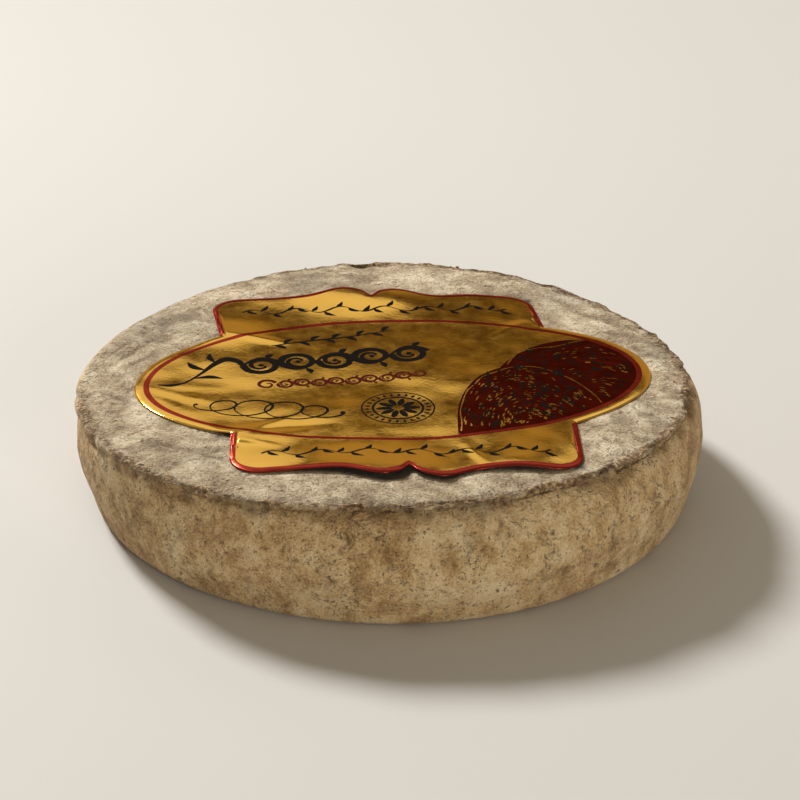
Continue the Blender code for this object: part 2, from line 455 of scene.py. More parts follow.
# The mould's grey ends below the lip, along a ragged line.
GREY_ENDS = (0.0008, 0.0026)
GREY_RAGGED = (0.0006, 0.0025)


def bump(away):
    """1 where away is 0, falling smoothly to nothing on both sides."""
    return np.exp(-(away**2))


def survey(points):
    """Where points of the smooth wheel lie: on its top or side, by its edge and by its label."""
    spot = SimpleNamespace(points=points)
    spot.x, spot.y, spot.z = points.T
    radius = np.hypot(spot.x, spot.y)
    spot.angle = np.arctan2(spot.y, spot.x)
    edge = np.array([edge_radius(a) for a in spot.angle])
    spot.worn = np.array([worn_share(a) for a in spot.angle])
    spot.up = soft_steps(*TOP_BEGINS, spot.z) * (1 - soft_steps(*EDGE_FADES, radius - edge))
    spot.from_lip = radius - (edge - LIP_INSET)
    spot.low = np.array([top_height(*pair) for pair in zip(spot.x, spot.y)]) - spot.z
    # The side unrolled: noise on it comes out drawn upright.
    upright = spot.z * CREASE_STRETCH / BELLY_RADIUS
    spot.wrapped = np.stack([np.cos(spot.angle), np.sin(spot.angle), upright], 1) * BELLY_RADIUS
    warp = [noise_at(points, WARP_SIZE), noise_at(points + WARP_APART, WARP_SIZE)]
    spot.bent = points + WARP_REACH * np.stack([*warp, np.zeros(len(points))], 1)
    return spot


def angle_from(spot, turn):
    """How far round the wheel each point lies from an angle, from -pi to pi."""
    return np.angle(np.exp(1j * (spot.angle - turn)))


def cloth_marks(spot, settings):
    """Dents, ripples and folds left by the cloth, with a painted highlight on their crests and
    painted shade in their dents and folds.
    """
    dents = noise_at(spot.bent, settings.dent_length)
    across = turned(spot.bent, RIPPLE_TURN)
    ripples = np.tanh(RIPPLE_STEEPNESS * noise_at(across, RIPPLE_SIZE, RIPPLE_STRETCH))
    to_right = soft_steps(-0.03, 0.04, spot.x * 0.9 - spot.y * 0.35)
    rippled = RIPPLES_LEFT + (1 - RIPPLES_LEFT) * to_right
    upright = noise_at(spot.wrapped, CREASE_SIZE)
    relief = settings.dent_height * dents * (DENTS_ON_SIDE + (1 - DENTS_ON_SIDE) * spot.up)
    relief += settings.ripple_height * ripples * rippled * spot.up
    relief += settings.fine_height * noise_at(spot.points, FINE_SIZE)
    relief += CREASE_HEIGHT * upright * (1 - spot.up)
    crest = 0.5 + 0.42 * ripples * rippled * spot.up
    crest += 0.5 * dents + 0.25 * upright * (1 - spot.up)
    # Painted shade in the deeper dents, and further down in the folds.
    hollow = np.clip(-dents - 0.25, 0, 1) * 0.5
    for start, end, depth, half_width in FOLDS:
        share = groove(spot.points, start, end, half_width) * spot.up
        relief -= depth * share
        hollow = np.maximum(hollow, share)
    return relief, crest, hollow


def seam_marks(spot):
    """The torn band along the edge, and the ridges and fill that it adds."""
    seam = bump(spot.from_lip / SEAM_WIDTH) * bump(spot.low / SEAM_DROP)
    cluster = soft_steps(-0.20, 0.20, noise_at(spot.wrapped, SEAM_CLUSTER))
    seam *= (1 - SEAM_WORN_OFF * spot.worn) * (SEAM_LEAST + (1 - SEAM_LEAST) * cluster)
    filled = bump((spot.low - FILL_DROP) / FILL_WIDTH)
    filled *= soft_steps(*FILL_FADES, spot.from_lip) * (1 - spot.worn)
    lumps, size = FILL_LUMPS
    relief = FILL_HEIGHT * filled * (1 + lumps * noise_at(spot.points, size))
    ridges = 1 - 2 * np.abs(noise_at(spot.points, RIDGE_SIZE)) * 1.6
    relief += RIDGE_HEIGHT * seam * (ridges - 0.5)
    relief += TORN_HEIGHT * seam * noise_at(spot.points, TORN_SIZE)
    return seam, relief


def seam_holes(spot, relief, hollow, generator, count):
    """Tears holes along the seam, longer round the wheel than across it."""
    for _ in range(count):
        turn = generator.uniform(0, 2 * math.pi)
        size = generator.uniform(*HOLE_SIZE)
        inwards = generator.normal(*HOLE_INSET)
        depth = generator.uniform(*HOLE_DEPTH) * (1 - HOLES_WORN_OFF * worn_share(turn))
        centre = np.array([*in_plan(edge_radius(turn) - inwards, turn), 0.0])
        near = np.abs(angle_from(spot, turn)) < HOLE_ARC
        aside = turned(spot.points[near] - centre, turn)
        share = bump(np.hypot(aside[:, 0] / size, aside[:, 1] / (size * HOLE_LENGTH)))
        share *= spot.low[near] < HOLE_REACH_DOWN
        relief[near] -= depth * share
        # Painted shade in the hole, full where it is HOLE_FULL_DEPTH deep.
        hollow[near] = np.maximum(hollow[near], share * min(1.0, depth / HOLE_FULL_DEPTH))


def top_pits(spot, relief, hollow, generator, count):
    """Sinks small round pits into the top."""
    for _ in range(count):
        reach = PIT_SPREAD * math.sqrt(generator.uniform(0.2, 1.0))
        x, y = in_plan(reach, generator.uniform(0, 2 * math.pi))
        size = generator.uniform(*PIT_SIZE)
        depth = generator.uniform(*PIT_DEPTH)
        share = bump(np.hypot(spot.x - x, spot.y - y) / size) * spot.up
        relief -= depth * share
        # Painted shade in the pit.
        np.maximum(hollow, PIT_SHADE * share, out=hollow)


def side_cracks(spot, relief, hollow, generator, count):
    """Splits the side with short upright cracks that wander a little."""
    for _ in range(count):
        turn = generator.uniform(-math.pi, math.pi)
        middle, reach = generator.uniform(*CRACK_HEIGHT), generator.uniform(*CRACK_REACH)
        wander = CRACK_WANDER * np.sin(spot.z * 900 + turn * 7)
        across = angle_from(spot, turn) * BELLY_RADIUS + wander
        share = bump(across / CRACK_WIDTH) * bump((spot.z - middle) / reach) * (1 - spot.up)
        relief -= CRACK_DEPTH * share
        # Painted shade in the crack.
        np.maximum(hollow, CRACK_SHADE * share, out=hollow)


def rind_relief(points, settings):
    """How far each point of the smooth wheel moves outwards, and the values its material reads."""
    spot = survey(points)
    relief, crest, hollow = cloth_marks(spot, settings)
    seam, torn = seam_marks(spot)
    relief += torn
    generator = np.random.default_rng(settings.seed)
    seam_holes(spot, relief, hollow, generator, settings.seam_holes)
    top_pits(spot, relief, hollow, generator, settings.pits)
    side_cracks(spot, relief, hollow, generator, settings.side_cracks)

    blotch = np.zeros(len(points))
    for (x, y), size, strength in BLOTCHES:
        blotch += strength * bump(np.hypot(spot.x - x, spot.y - y) / size) * spot.up
    blotch *= np.clip(0.7 + 1.2 * noise_at(spot.bent, 0.006), 0, 1.4)

    flat = label_flat(spot.x, spot.y)
    clear = np.array([from_label(*pair) for pair in flat])
    sprung = np.array([label_lift(*pair) for pair in flat])
    on_top = spot.z > LABEL_ABOVE
    pressed = (1 - soft_steps(*PRESS_FADES, clear)) * on_top
    relief = relief * (1 - PRESS_SHARE * pressed) - PRESS_DEPTH * pressed
    relief = (relief - SIDE_INSET * (1 - spot.up)) * soft_steps(*BASE_FADES, spot.z)
    # Painted shade under the label, and the painted shadow of its sprung edge on the rind beyond.
    covered = (1 - soft_steps(*LABEL_SHADE_FADES, clear - SHADOW_REACH * sprung)) * on_top
    ragged, size = GREY_RAGGED
    top = spot.up * (1 - soft_steps(*GREY_ENDS, spot.low + ragged * noise_at(points, size)))
    values = {"seam": seam, "hollow": hollow, "top": top}
    return relief, values | {"blotch": blotch, "crest": crest, "covered": covered}


def from_label(u, v):
    """About how far a point lies outside the label's outline, or below 0 inside it."""
    from_oval = (oval_share(u, v) - 1) * OVAL_HALF_WIDTH
    from_banner = max(abs(u) - BANNER_HALF_LENGTH, abs(v) - banner_reach(u))
    return min(from_oval, from_banner)


def label_flat(x, y):
    """Where on the flat label points in plan lie, near enough to tell what it covers."""
    c, s = math.cos(LABEL_TURN), math.sin(LABEL_TURN)
    x, y = x - LABEL_CENTRE[0], y - LABEL_CENTRE[1]
    u, v = x * c + y * s, y * c - x * s
    return np.stack([u, v + BANNER_SLOPE * u * (np.abs(v) > SHIFT_END)], 1)


def add_values(mesh, values):
    """Keeps numbers for each point of a mesh where its material can read them."""
    for name, numbers in values.items():
        layer = mesh.attributes.new(name, "FLOAT", "POINT")
        layer.data.foreach_set("value", np.asarray(numbers, dtype=np.float32))


def shaped_wheel(settings):
    """The wheel with its relief."""
    mesh = wheel_mesh()
    count = len(mesh.vertices)
    points, normals = np.empty(count * 3), np.empty(count * 3)
    mesh.vertices.foreach_get("co", points)
    mesh.vertex_normals.foreach_get("vector", normals)
    points, normals = points.reshape(-1, 3), normals.reshape(-1, 3)
    relief, values = rind_relief(points, settings)
    points = points + normals * relief[:, None]
    points[:, 2] = np.maximum(points[:, 2], 0.0)
    mesh.vertices.foreach_set("co", points.ravel())
    add_values(mesh, values)
    mesh.update()
    return mesh


def banner_reach(along):
    """How far a banner's long edge lies from the label's middle: two lobes with a notch between."""
    distance = abs(along)
    lobe = LOBE_DEPTH * math.exp(-(((distance - LOBE_PLACE) / LOBE_WIDTH) ** 2))
    notch = NOTCH_DEPTH * math.exp(-((distance / NOTCH_WIDTH) ** 2))
    return BANNER_REACH + lobe - notch


def label_place(u, v):
    """The point in plan that a point of the flat label lies over."""
    share = smoothstep(SHIFT_START, SHIFT_END, abs(v))
    u, v = u + BANNER_SHIFT * share, v - BANNER_SLOPE * u * share
    c, s = math.cos(LABEL_TURN), math.sin(LABEL_TURN)
    return LABEL_CENTRE[0] + u * c - v * s, LABEL_CENTRE[1] + u * s + v * c


def label_lift(u, v):
    """How far the foil has sprung up from the rind."""
    lift = 0.0
    for along, out, height, half_length, half_width in SWELLS:
        away = math.hypot((u - along) / half_length, (abs(v) - out) / half_width)
        lift += height * math.exp(-(away**2))
    return lift


def quarter(inset, arc_steps, corner_steps, long_steps):
    """A quarter of the label's outline, set in from its edge, from the oval's tip to the notch."""
    points = []
    side = BANNER_HALF_LENGTH - inset
    long_half, wide_half = OVAL_HALF_LENGTH - inset, OVAL_HALF_WIDTH - inset
    end = math.acos(side / long_half)
    for step in range(arc_steps + 1):
        turn = end * step / arc_steps
        points.append((long_half * math.cos(turn), wide_half * math.sin(turn)))
    return points + banner_quarter(inset, inset, corner_steps, long_steps)


def banner_quarter(side_inset, long_inset, corner_steps, long_steps):
    """The corner and half of the long edge of a banner, set in from its short and its long edge."""
    points = []
    corner_along = BANNER_HALF_LENGTH - BANNER_CORNER
    corner_out = banner_reach(corner_along) - BANNER_CORNER
    for step in range(corner_steps + 1):
        along, out = in_plan(1.0, math.pi / 2 * step / corner_steps)
        along, out = along * (BANNER_CORNER - side_inset), out * (BANNER_CORNER - long_inset)
        points.append((corner_along + along, corner_out + out))
    for step in range(1, long_steps + 1):
        along = corner_along * (1 - step / long_steps)
        points.append((along, banner_reach(along) - long_inset))
    return points


def mirrored(points, wide=True):
    """A loop from its quarter, or a half loop where wide is false."""
    upper = points + [(-u, v) for u, v in reversed(points[:-1])]
    return upper + [(u, -v) for u, v in reversed(upper[1:-1])] if wide else upper


def ellipse(half_length, half_width, steps):
    """A closed oval of points round the label's middle."""
    turns = (2 * math.pi * n / steps for n in range(steps))
    return [(half_length * math.cos(turn), half_width * math.sin(turn)) for turn in turns]


def oval_share(u, v, inset=0.0):
    """Below 1 inside the label's oval set in by inset, and above 1 outside it."""
    return math.hypot(u / (OVAL_HALF_LENGTH - inset), v / (OVAL_HALF_WIDTH - inset))


def in_banner(u, v, side_inset, long_inset):
    """True where a point is within the banners' outline, set in from its short and long edges."""
    if abs(u) > BANNER_HALF_LENGTH - side_inset:
        return False
    corner_along = BANNER_HALF_LENGTH - BANNER_CORNER
    past_u = abs(u) - corner_along
    past_v = abs(v) - (banner_reach(corner_along) - BANNER_CORNER)
    if past_u > 0 and past_v > 0:
        past_u /= BANNER_CORNER - side_inset
        past_v /= BANNER_CORNER - long_inset
        return math.hypot(past_u, past_v) < 1
    return abs(v) < banner_reach(u) - long_inset


# The label's print: the red line inside the oval's edge, and the banners' red border.
LINE_INSET = 0.0030
LINE_WIDTH = 0.0020
BORDER_SIDE = 0.0019
BORDER_LONG = 0.0028
# The printed hills: the middle, half length and half height of each dome.
HILLS = (
    (0.0440, -0.0430, 0.0265, 0.0500),
    (0.0640, -0.0400, 0.0370, 0.0660),
    (0.0870, -0.0300, 0.0300, 0.0500),
)
# Creases in the foil: from, to, height, half width.
CREASES = (
    ((-0.086, 0.001), (-0.058, -0.016), 0.00009, 0.0022),
    ((-0.085, 0.003), (-0.052, -0.004), 0.00006, 0.0028),
    ((-0.082, -0.004), (-0.066, -0.020), -0.00007, 0.0018),
    ((-0.058, -0.040), (-0.034, -0.026), 0.00026, 0.0022),
    ((-0.056, -0.044), (-0.040, -0.052), 0.00022, 0.0018),
    ((-0.050, -0.036), (-0.020, -0.033), -0.00018, 0.0026),
    ((0.020, -0.052), (0.026, -0.070), 0.00024, 0.0018),
    ((-0.060, 0.044), (-0.030, 0.030), 0.00026, 0.0022),
    ((0.050, 0.044), (0.034, 0.026), 0.00022, 0.0024),
    ((0.084, 0.004), (0.062, 0.012), 0.00018, 0.0022),
)
# Waves in the foil: height and length.
FOIL_WAVES = ((0.00024, 0.023), (0.00007, 0.0088))
# The foil's waves fade out this close to its rim.
WAVELESS_RIM = 0.004


def foil_waves(u, v):
    """Soft waves and creases of the foil, in metres."""
    point = Vector((u, v, 0.0))
    waves = sum(height * noise.noise(point / length) for height, length in FOIL_WAVES)
    for start, end, height, half_width in CREASES:
        start, end = Vector(start), Vector(end)
        line = end - start
        share = min(1.0, max(0.0, (Vector((u, v)) - start).dot(line) / line.length_squared))
        away = (Vector((u, v)) - start - line * share).length / half_width
        waves += height * math.exp(-(away**2)) * math.sin(math.pi * min(1.0, 0.15 + share * 0.85))
    return waves


def print_finish(u, v):
    """The finish of a point of the label's face: 0 for bare gold, 1 for red, 2 for the field."""
    if oval_share(u, v, LINE_INSET + LINE_WIDTH) < 1:
        in_hills = any(math.hypot((u - cu) / hu, (v - cv) / hv) < 1 for cu, cv, hu, hv in HILLS)
        return 2 if in_hills else 0
    if oval_share(u, v, LINE_INSET) < 1:
        return 1
    if oval_share(u, v) < 1 or in_banner(u, v, BORDER_SIDE, BORDER_LONG):
        return 0
    return 1


def drawn_lines():
    """The edges of the label and its print as chains of points, each with whether it is closed."""
    line_end = LINE_INSET + LINE_WIDTH
    closed = [mirrored(quarter(inset, 70, 16, 96)) for inset in (0.0, 0.0006, 0.0013, 0.0021)]
    for inset in (LINE_INSET, line_end):
        closed.append(ellipse(OVAL_HALF_LENGTH - inset, OVAL_HALF_WIDTH - inset, 360))
    side = BANNER_HALF_LENGTH - BORDER_SIDE
    foot = OVAL_HALF_WIDTH * math.sqrt(1 - (side / OVAL_HALF_LENGTH) ** 2) - 0.0002
    upper = mirrored([(side, foot)] + banner_quarter(BORDER_SIDE, BORDER_LONG, 12, 80), wide=False)
    open_ended = [upper, [(u, -v) for u, v in upper]]
    for cu, cv, hu, hv in HILLS:
        turns = (math.pi * n / 120 for n in range(121))
        arc = [(cu + hu * math.cos(t), cv + hv * math.sin(t)) for t in turns]
        open_ended.append([p for p in arc if oval_share(*p, line_end + 0.0004) < 1])
    return [(chain, True) for chain in closed] + [(chain, False) for chain in open_ended]


def finder(points):
    """A tree that finds the nearest of some flat points."""
    tree = kdtree.KDTree(len(points))
    for n, point in enumerate(points):
        tree.insert((*point, 0.0), n)
    tree.balance()
    return tree


def label_sheet(settings):
    """The label's face as one fine sheet over the wheel, cut along the edges of its print."""
    chains = drawn_lines()
    flat, edges = [], []
    for chain, closed in chains:
        first = len(flat)
        flat += [Vector(point) for point in chain]
        edges += [(n, n + 1) for n in range(first, len(flat) - 1)]
        if closed:
            edges.append((len(flat) - 1, first))
    drawn, outline = finder(flat), finder(chains[0][0])
    row_step = settings.step * math.sqrt(3) / 2
    rows = math.ceil((BANNER_REACH + LOBE_DEPTH) / row_step)
    columns = math.ceil(OVAL_HALF_LENGTH / settings.step)
    for row in range(-rows, rows + 1):
        for column in range(-columns, columns + 1):
            u, v = (column + row % 2 / 2) * settings.step, row * row_step
            inside = oval_share(u, v, 0.0002) < 1 or in_banner(u, v, 0.0002, 0.0002)
            if inside and drawn.find((u, v, 0.0))[2] > settings.step * 0.45:
                flat.append(Vector((u, v)))
    flat, _, triangles, *_ = geometry.delaunay_2d_cdt(flat, edges, [], 1, 1e-6)
    points = []
    for u, v in flat:
        x, y = label_place(u, v)
        rim = outline.find((u, v, 0.0))[2]
        curl = max(0.0, 1 - rim / settings.curl_width) ** 2 * settings.curl_depth
        wave = foil_waves(u, v) * smoothstep(0, WAVELESS_RIM, rim)
        rise = LABEL_GAP + LABEL_THICKNESS + label_lift(u, v) + wave
        points.append((x, y, top_height(x, y) + rise - curl - settings.wave_room))
    finishes = []
    for triangle in triangles:
        corners = [flat[n] for n in triangle]
        u, v = sum(c[0] for c in corners) / 3, sum(c[1] for c in corners) / 3
        finishes.append(print_finish(u, v))
    return points, triangles, finishes


MATHS = "ShaderNodeMath"
VECTOR_MATHS = "ShaderNodeVectorMath"
NOISE = "ShaderNodeTexNoise"
RAMP = "ShaderNodeValToRGB"
RANGE = "ShaderNodeMapRange"
MIX = "ShaderNodeMix"
NAMED = "GeometryNodeInputNamedAttribute"
COMBINE = "ShaderNodeCombineXYZ"


def add_node(tree, kind, inputs=None, output=None, **settings):
    """Adds a node, sets its properties, and fills or links its inputs by name or number.

    Gives the node back, or the one of its outputs that is asked for by name or number.
    """
    node = tree.nodes.new(kind)
    for name, value in settings.items():
        if name == "stops":
            ramp = node.color_ramp
            while len(ramp.elements) < len(value):
                ramp.elements.new(0.5)
            for element, (place, colour) in zip(ramp.elements, value):
                element.position = place
                element.color = (*linear(colour), 1.0)
        else:
            setattr(node, name, value)
    for name, value in (inputs or {}).items():
        if isinstance(value, bpy.types.NodeSocket):
            tree.links.new(value, node.inputs[name])
        else:
            node.inputs[name].default_value = value
    return node if output is None else node.outputs[output]


def new_material(name, **constants):
    """A material with one Principled surface, whose plain numbers are set on its own sockets."""
    material = bpy.data.materials.new(name)
    material.use_nodes = True
    tree = material.node_tree
    surface = tree.nodes["Principled BSDF"]
    for socket, value in constants.items():
        surface.inputs[socket.replace("_", " ")].default_value = value
    return material, tree, surface


def per_mm(size):
    """The scale of a texture whose lumps are size millimetres across."""
    return 1 / (size * MM)


# The rind's colours from dark to light: the mould on its top, its side, and its torn seam.
TOP_STOPS = ((0.48, "#786449"), (0.59, "#9F8A6B"), (0.69, "#BFAB8A"), (0.81, "#E2D2B4"))
SIDE_STOPS = ((0.47, "#8A683C"), (0.60, "#B5925F"), (0.70, "#CFB180"), (0.84, "#E2CBA0"))
TORN_STOPS = ((0.39, "#452D15"), (0.48, "#805A2C"), (0.56, "#AE8C5A"), (0.67, "#DECEA9"))
# The rind's grains: size in millimetres, detail, roughness and distortion. The felt's own hairs
# are too fine to show, so they are drawn 0.8 mm across.
GRAINS = {
    "cloud": (19, 3.0, 0.55, 0.0),
    "mottle": (5.2, 5.0, 0.62, 0.6),
    "felt": (0.8, 3.0, 0.75, 0.0),
    "pore": (1.3, 2.0, 0.6, 0.0),
    "vein": (8.5, 4.0, 0.62, 0.9),
    "thicket": (12, 2.0, 0.5, 0.0),
    "ragged": (2.6, 3.0, 0.6, 0.0),
    "crumb": (1.4, 3.0, 0.65, 0.0),
    "lump": (2.0, 6.0, 0.72, 0.0),
    "hair": (0.8, 2.0, 0.7, 0.0),
}
# The paper's colours from dark to light. Its fibres are too fine to show, so its grain is drawn
# 0.8 mm across.
PAPER_STOPS = ((0.3, "#C9C0AE"), (0.7, "#DDD6C6"))
# The values that the wheel's mesh carries for its rind.
RIND_VALUES = ("seam", "hollow", "top", "blotch", "crest", "covered")


def rind_material():
    """Grey and beige moulds grown over washed curd: dead matt, felted, and ochre where torn."""
    material, tree, surface = new_material("mould_grown_rind", Roughness=0.92, IOR=1.45)
    surface.inputs["Sheen Weight"].default_value = 0.08
    surface.inputs["Sheen Roughness"].default_value = 0.6
    add = partial(add_node, tree)
    place = add("ShaderNodeTexCoord", output="Object")
    read = {
        name: add("ShaderNodeAttribute", attribute_name=name, output="Fac") for name in RIND_VALUES
    }
    for name, (size, detail, rough, warp) in GRAINS.items():
        inputs = {"Scale": per_mm(size), "Detail": detail, "Roughness": rough, "Distortion": warp}
        read[name] = add(NOISE, {"Vector": place, **inputs}, "Fac")

    # The tone: clouds and mottles, a painted highlight that whitens the crests of the relief, and
    # the grain of their felt.
    read["mould"] = add(MATHS, {0: read["cloud"], 1: read["mottle"]}, 0, operation="ADD")
    tone = -0.17
    for name, share in (("mould", 0.5), ("crest", 0.16), ("felt", 0.52)):
        tone = add(MATHS, {0: read[name], 1: share, 2: tone}, 0, operation="MULTIPLY_ADD")
    on_top = add(RAMP, {"Fac": tone}, "Color", stops=TOP_STOPS)
    on_side = add(RAMP, {"Fac": tone}, "Color", stops=SIDE_STOPS)
    torn_colour = add(RAMP, {"Fac": read["crumb"]}, "Color", stops=TORN_STOPS)
    body = add(MIX, {0: read["top"], 6: on_side, 7: on_top}, 2, data_type="RGBA")

    # Where there are pores, cracks as thin as a hair, and the seam's band with its ragged sides.
    across = add(MATHS, {0: read["vein"], 1: 0.5}, 0, operation="SUBTRACT")
    read["vein"] = add(MATHS, {0: across}, 0, operation="ABSOLUTE")
    band = add(MATHS, {0: read["ragged"], 1: 0.5}, 0, operation="SUBTRACT")
    read["ragged"] = add(MATHS, {0: band, 1: 2.2, 2: read["seam"]}, 0, operation="MULTIPLY_ADD")
    for name, start, end, most in (
        ("pore", 0.40, 0.31, 0.75),
        ("vein", 0.010, 0.002, 0.8),
        ("thicket", 0.48, 0.56, 1.0),
        ("ragged", 0.20, 0.50, 1.0),
    ):
        read[name] = add(RANGE, {0: read[name], 1: start, 2: end, 3: 0.0, 4: most}, 0)
    for name, first, second, operation in (
        ("crack", "vein", "thicket", "MULTIPLY"),
        ("pit", "pore", "crack", "MAXIMUM"),
        ("torn", "crumb", "ragged", "MULTIPLY"),
    ):
        read[name] = add(MATHS, {0: read[first], 1: read[second]}, 0, operation=operation)

    # Bluish mould, pores and cracks, torn paste, painted brown shade in the hollows, and painted
    # shade under the label that reaches out as the painted shadow of its sprung edge.
    for name, strength, colour in (
        ("blotch", 0.55, "#5E584C"),
        ("pit", 1.0, "#5C4A34"),
        ("ragged", 0.9, torn_colour),
        ("hollow", 0.7, "#5E4526"),
        ("covered", 0.92, "#2C2013"),
    ):
        share = add(MATHS, {0: read[name], 1: strength}, 0, operation="MULTIPLY", use_clamp=True)
        over = (*linear(colour), 1.0) if isinstance(colour, str) else colour
        body = add(MIX, {0: share, 6: body, 7: over}, 2, data_type="RGBA")
    tree.links.new(body, surface.inputs["Base Color"])

    # Heights in metres: the felt's lumps and hairs, the pores and cracks, and the torn crumbs.
    height = 0.0
    for name, metres in (("lump", 0.0012), ("hair", 0.00055), ("pit", -0.00025), ("torn", 0.0014)):
        height = add(MATHS, {0: read[name], 1: metres, 2: height}, 0, operation="MULTIPLY_ADD")
    raised = add("ShaderNodeBump", {"Strength": 1.0, "Distance": 1.0, "Height": height}, "Normal")
    tree.links.new(raised, surface.inputs["Normal"])
    return material


def uneven_colour(tree, surface, colour, darkest, size, rough=0.5, detail=3.0):
    """Lets a colour wander down to its darkest share, in lumps of size mm, and gives the lumps."""
    place = add_node(tree, "ShaderNodeTexCoord", output="Object")
    inputs = {"Vector": place, "Scale": per_mm(size), "Detail": detail, "Roughness": rough}
    lumps = add_node(tree, NOISE, inputs, "Fac")
    dark, light = (*(c * darkest for c in colour), 1.0), (*colour, 1.0)
    shade = add_node(tree, MIX, {0: lumps, 6: dark, 7: light}, 2, data_type="RGBA")
    tree.links.new(shade, surface.inputs["Base Color"])
    return place, lumps


def foil_material(name, colour, roughness):
    """Aluminium foil lacquered a clear colour and rolled onto paper: a soft mirror, fine crinkles.

    Seen at a low slant the lacquer tints less, so the tint there is halfway to white.
    """
    material, tree, surface = new_material(name, Metallic=1.0)
    surface.inputs["Specular Tint"].default_value = (*((1 + c) / 2 for c in colour), 1.0)
    place, wear = uneven_colour(tree, surface, colour, 0.86, 6, 0.6, 4.0)
    spread = {0: wear, 1: 0.3, 2: 0.7, 3: roughness - 0.04, 4: roughness + 0.05}
    tree.links.new(add_node(tree, RANGE, spread, 0), surface.inputs["Roughness"])
    inputs = {"Vector": place, "Scale": per_mm(1.4), "Detail": 2.0, "Roughness": 0.5}
    crinkle = add_node(tree, NOISE, inputs, "Fac")
    inputs = {"Strength": 0.5, "Distance": 0.00004, "Height": crinkle}
    tree.links.new(add_node(tree, "ShaderNodeBump", inputs, "Normal"), surface.inputs["Normal"])
    return material


def ink_material(name, colour, roughness):
    """Printing ink dried on foil: thin, opaque and nearly matt, with a faintly uneven coat.

    Its IOR is close to 1, because a coat this rough mirrors next to nothing.
    """
    material, tree, surface = new_material(name, Roughness=roughness, IOR=1.06)
    uneven_colour(tree, surface, colour, 0.7, 2.0)
    return material


def paper_material():
    """The label's uncoated paper back: white, soft and quite matt, with a short grain."""
    material, tree, surface = new_material("label_paper", Roughness=0.8)
    place = add_node(tree, "ShaderNodeTexCoord", output="Object")
    fibre = add_node(tree, NOISE, {"Vector": place, "Scale": per_mm(0.8), "Detail": 3.0}, "Fac")
    shade = add_node(tree, RAMP, {"Fac": fibre}, "Color", stops=PAPER_STOPS)
    tree.links.new(shade, surface.inputs["Base Color"])
    return material


def new_object(name, data):
    """A new object at the origin that shows some data."""
    made = bpy.data.objects.new(name, data)
    bpy.context.scene.collection.objects.link(made)
    return made


def new_tree(name, sockets):
    """An empty Geometry Nodes tree, with its inputs given by name, kind and default."""
    tree = bpy.data.node_groups.new(name, "GeometryNodeTree")
    for label, kind, default in sockets:
        socket = tree.interface.new_socket(label, in_out="INPUT", socket_type=kind)
        if default is not None:
            socket.default_value = default
    tree.interface.new_socket("Geometry", in_out="OUTPUT", socket_type="NodeSocketGeometry")
    return tree, tree.nodes.new("NodeGroupInput").outputs


def close_tree(tree, geometry_socket, material_socket):
    """Ends a tree: its instances are made real and given their material."""
    real = add_node(tree, "GeometryNodeRealizeInstances", {"Geometry": geometry_socket}, 0)
    inputs = {"Geometry": real, "Material": material_socket}
    painted = add_node(tree, "GeometryNodeSetMaterial", inputs, 0)
    add_node(tree, "NodeGroupOutput", {"Geometry": painted})
    return tree


def grown(name, mesh, tree, values, flat=False):
    """Runs a tree over a mesh and keeps the result as one plain mesh piece."""
    base = new_object(name + "_base", mesh)
    modifier = base.modifiers.new(tree.name, "NODES")
    modifier.node_group = tree
    for item in tree.interface.items_tree:
        if item.in_out == "INPUT" and item.name in values:
            modifier[item.identifier] = values[item.name]
    graph = bpy.context.evaluated_depsgraph_get()
    result = bpy.data.meshes.new_from_object(base.evaluated_get(graph), depsgraph=graph)
    result.name = name
    base.modifiers.remove(modifier)
    bpy.data.objects.remove(base)
    if flat:
        result.shade_flat()
    if not result.polygons:
        raise RuntimeError(f"the tree {tree.name} made no faces for {name}")
    return new_object(name, result)


CRUMB_SOCKETS = (
    ("Rind", "NodeSocketGeometry", None),
    ("Density", "NodeSocketFloat", 90000.0),
    ("Smallest", "NodeSocketFloat", 0.0005),
    ("Largest", "NodeSocketFloat", 0.0013),
    ("Seed", "NodeSocketInt", 4),
    ("Finish", "NodeSocketMaterial", None),
)
PRINT_SOCKETS = (
    ("Wires", "NodeSocketGeometry", None),
    ("Foil", "NodeSocketObject", None),
    ("Ink height", "NodeSocketFloat", 0.00003),
    ("Ink", "NodeSocketMaterial", None),
)
DRAWING_SOCKET = ("Drawing", "NodeSocketObject", None)
CRUMB_SEAM_POWER = 3.0
FULL_TURN = (6.283, 6.283, 6.283)
# Rays look for the foil from well above it.
ABOVE_ALL = 0.2
# A share of a ribbon's half width.
RIBBON_THICKNESS = 0.02


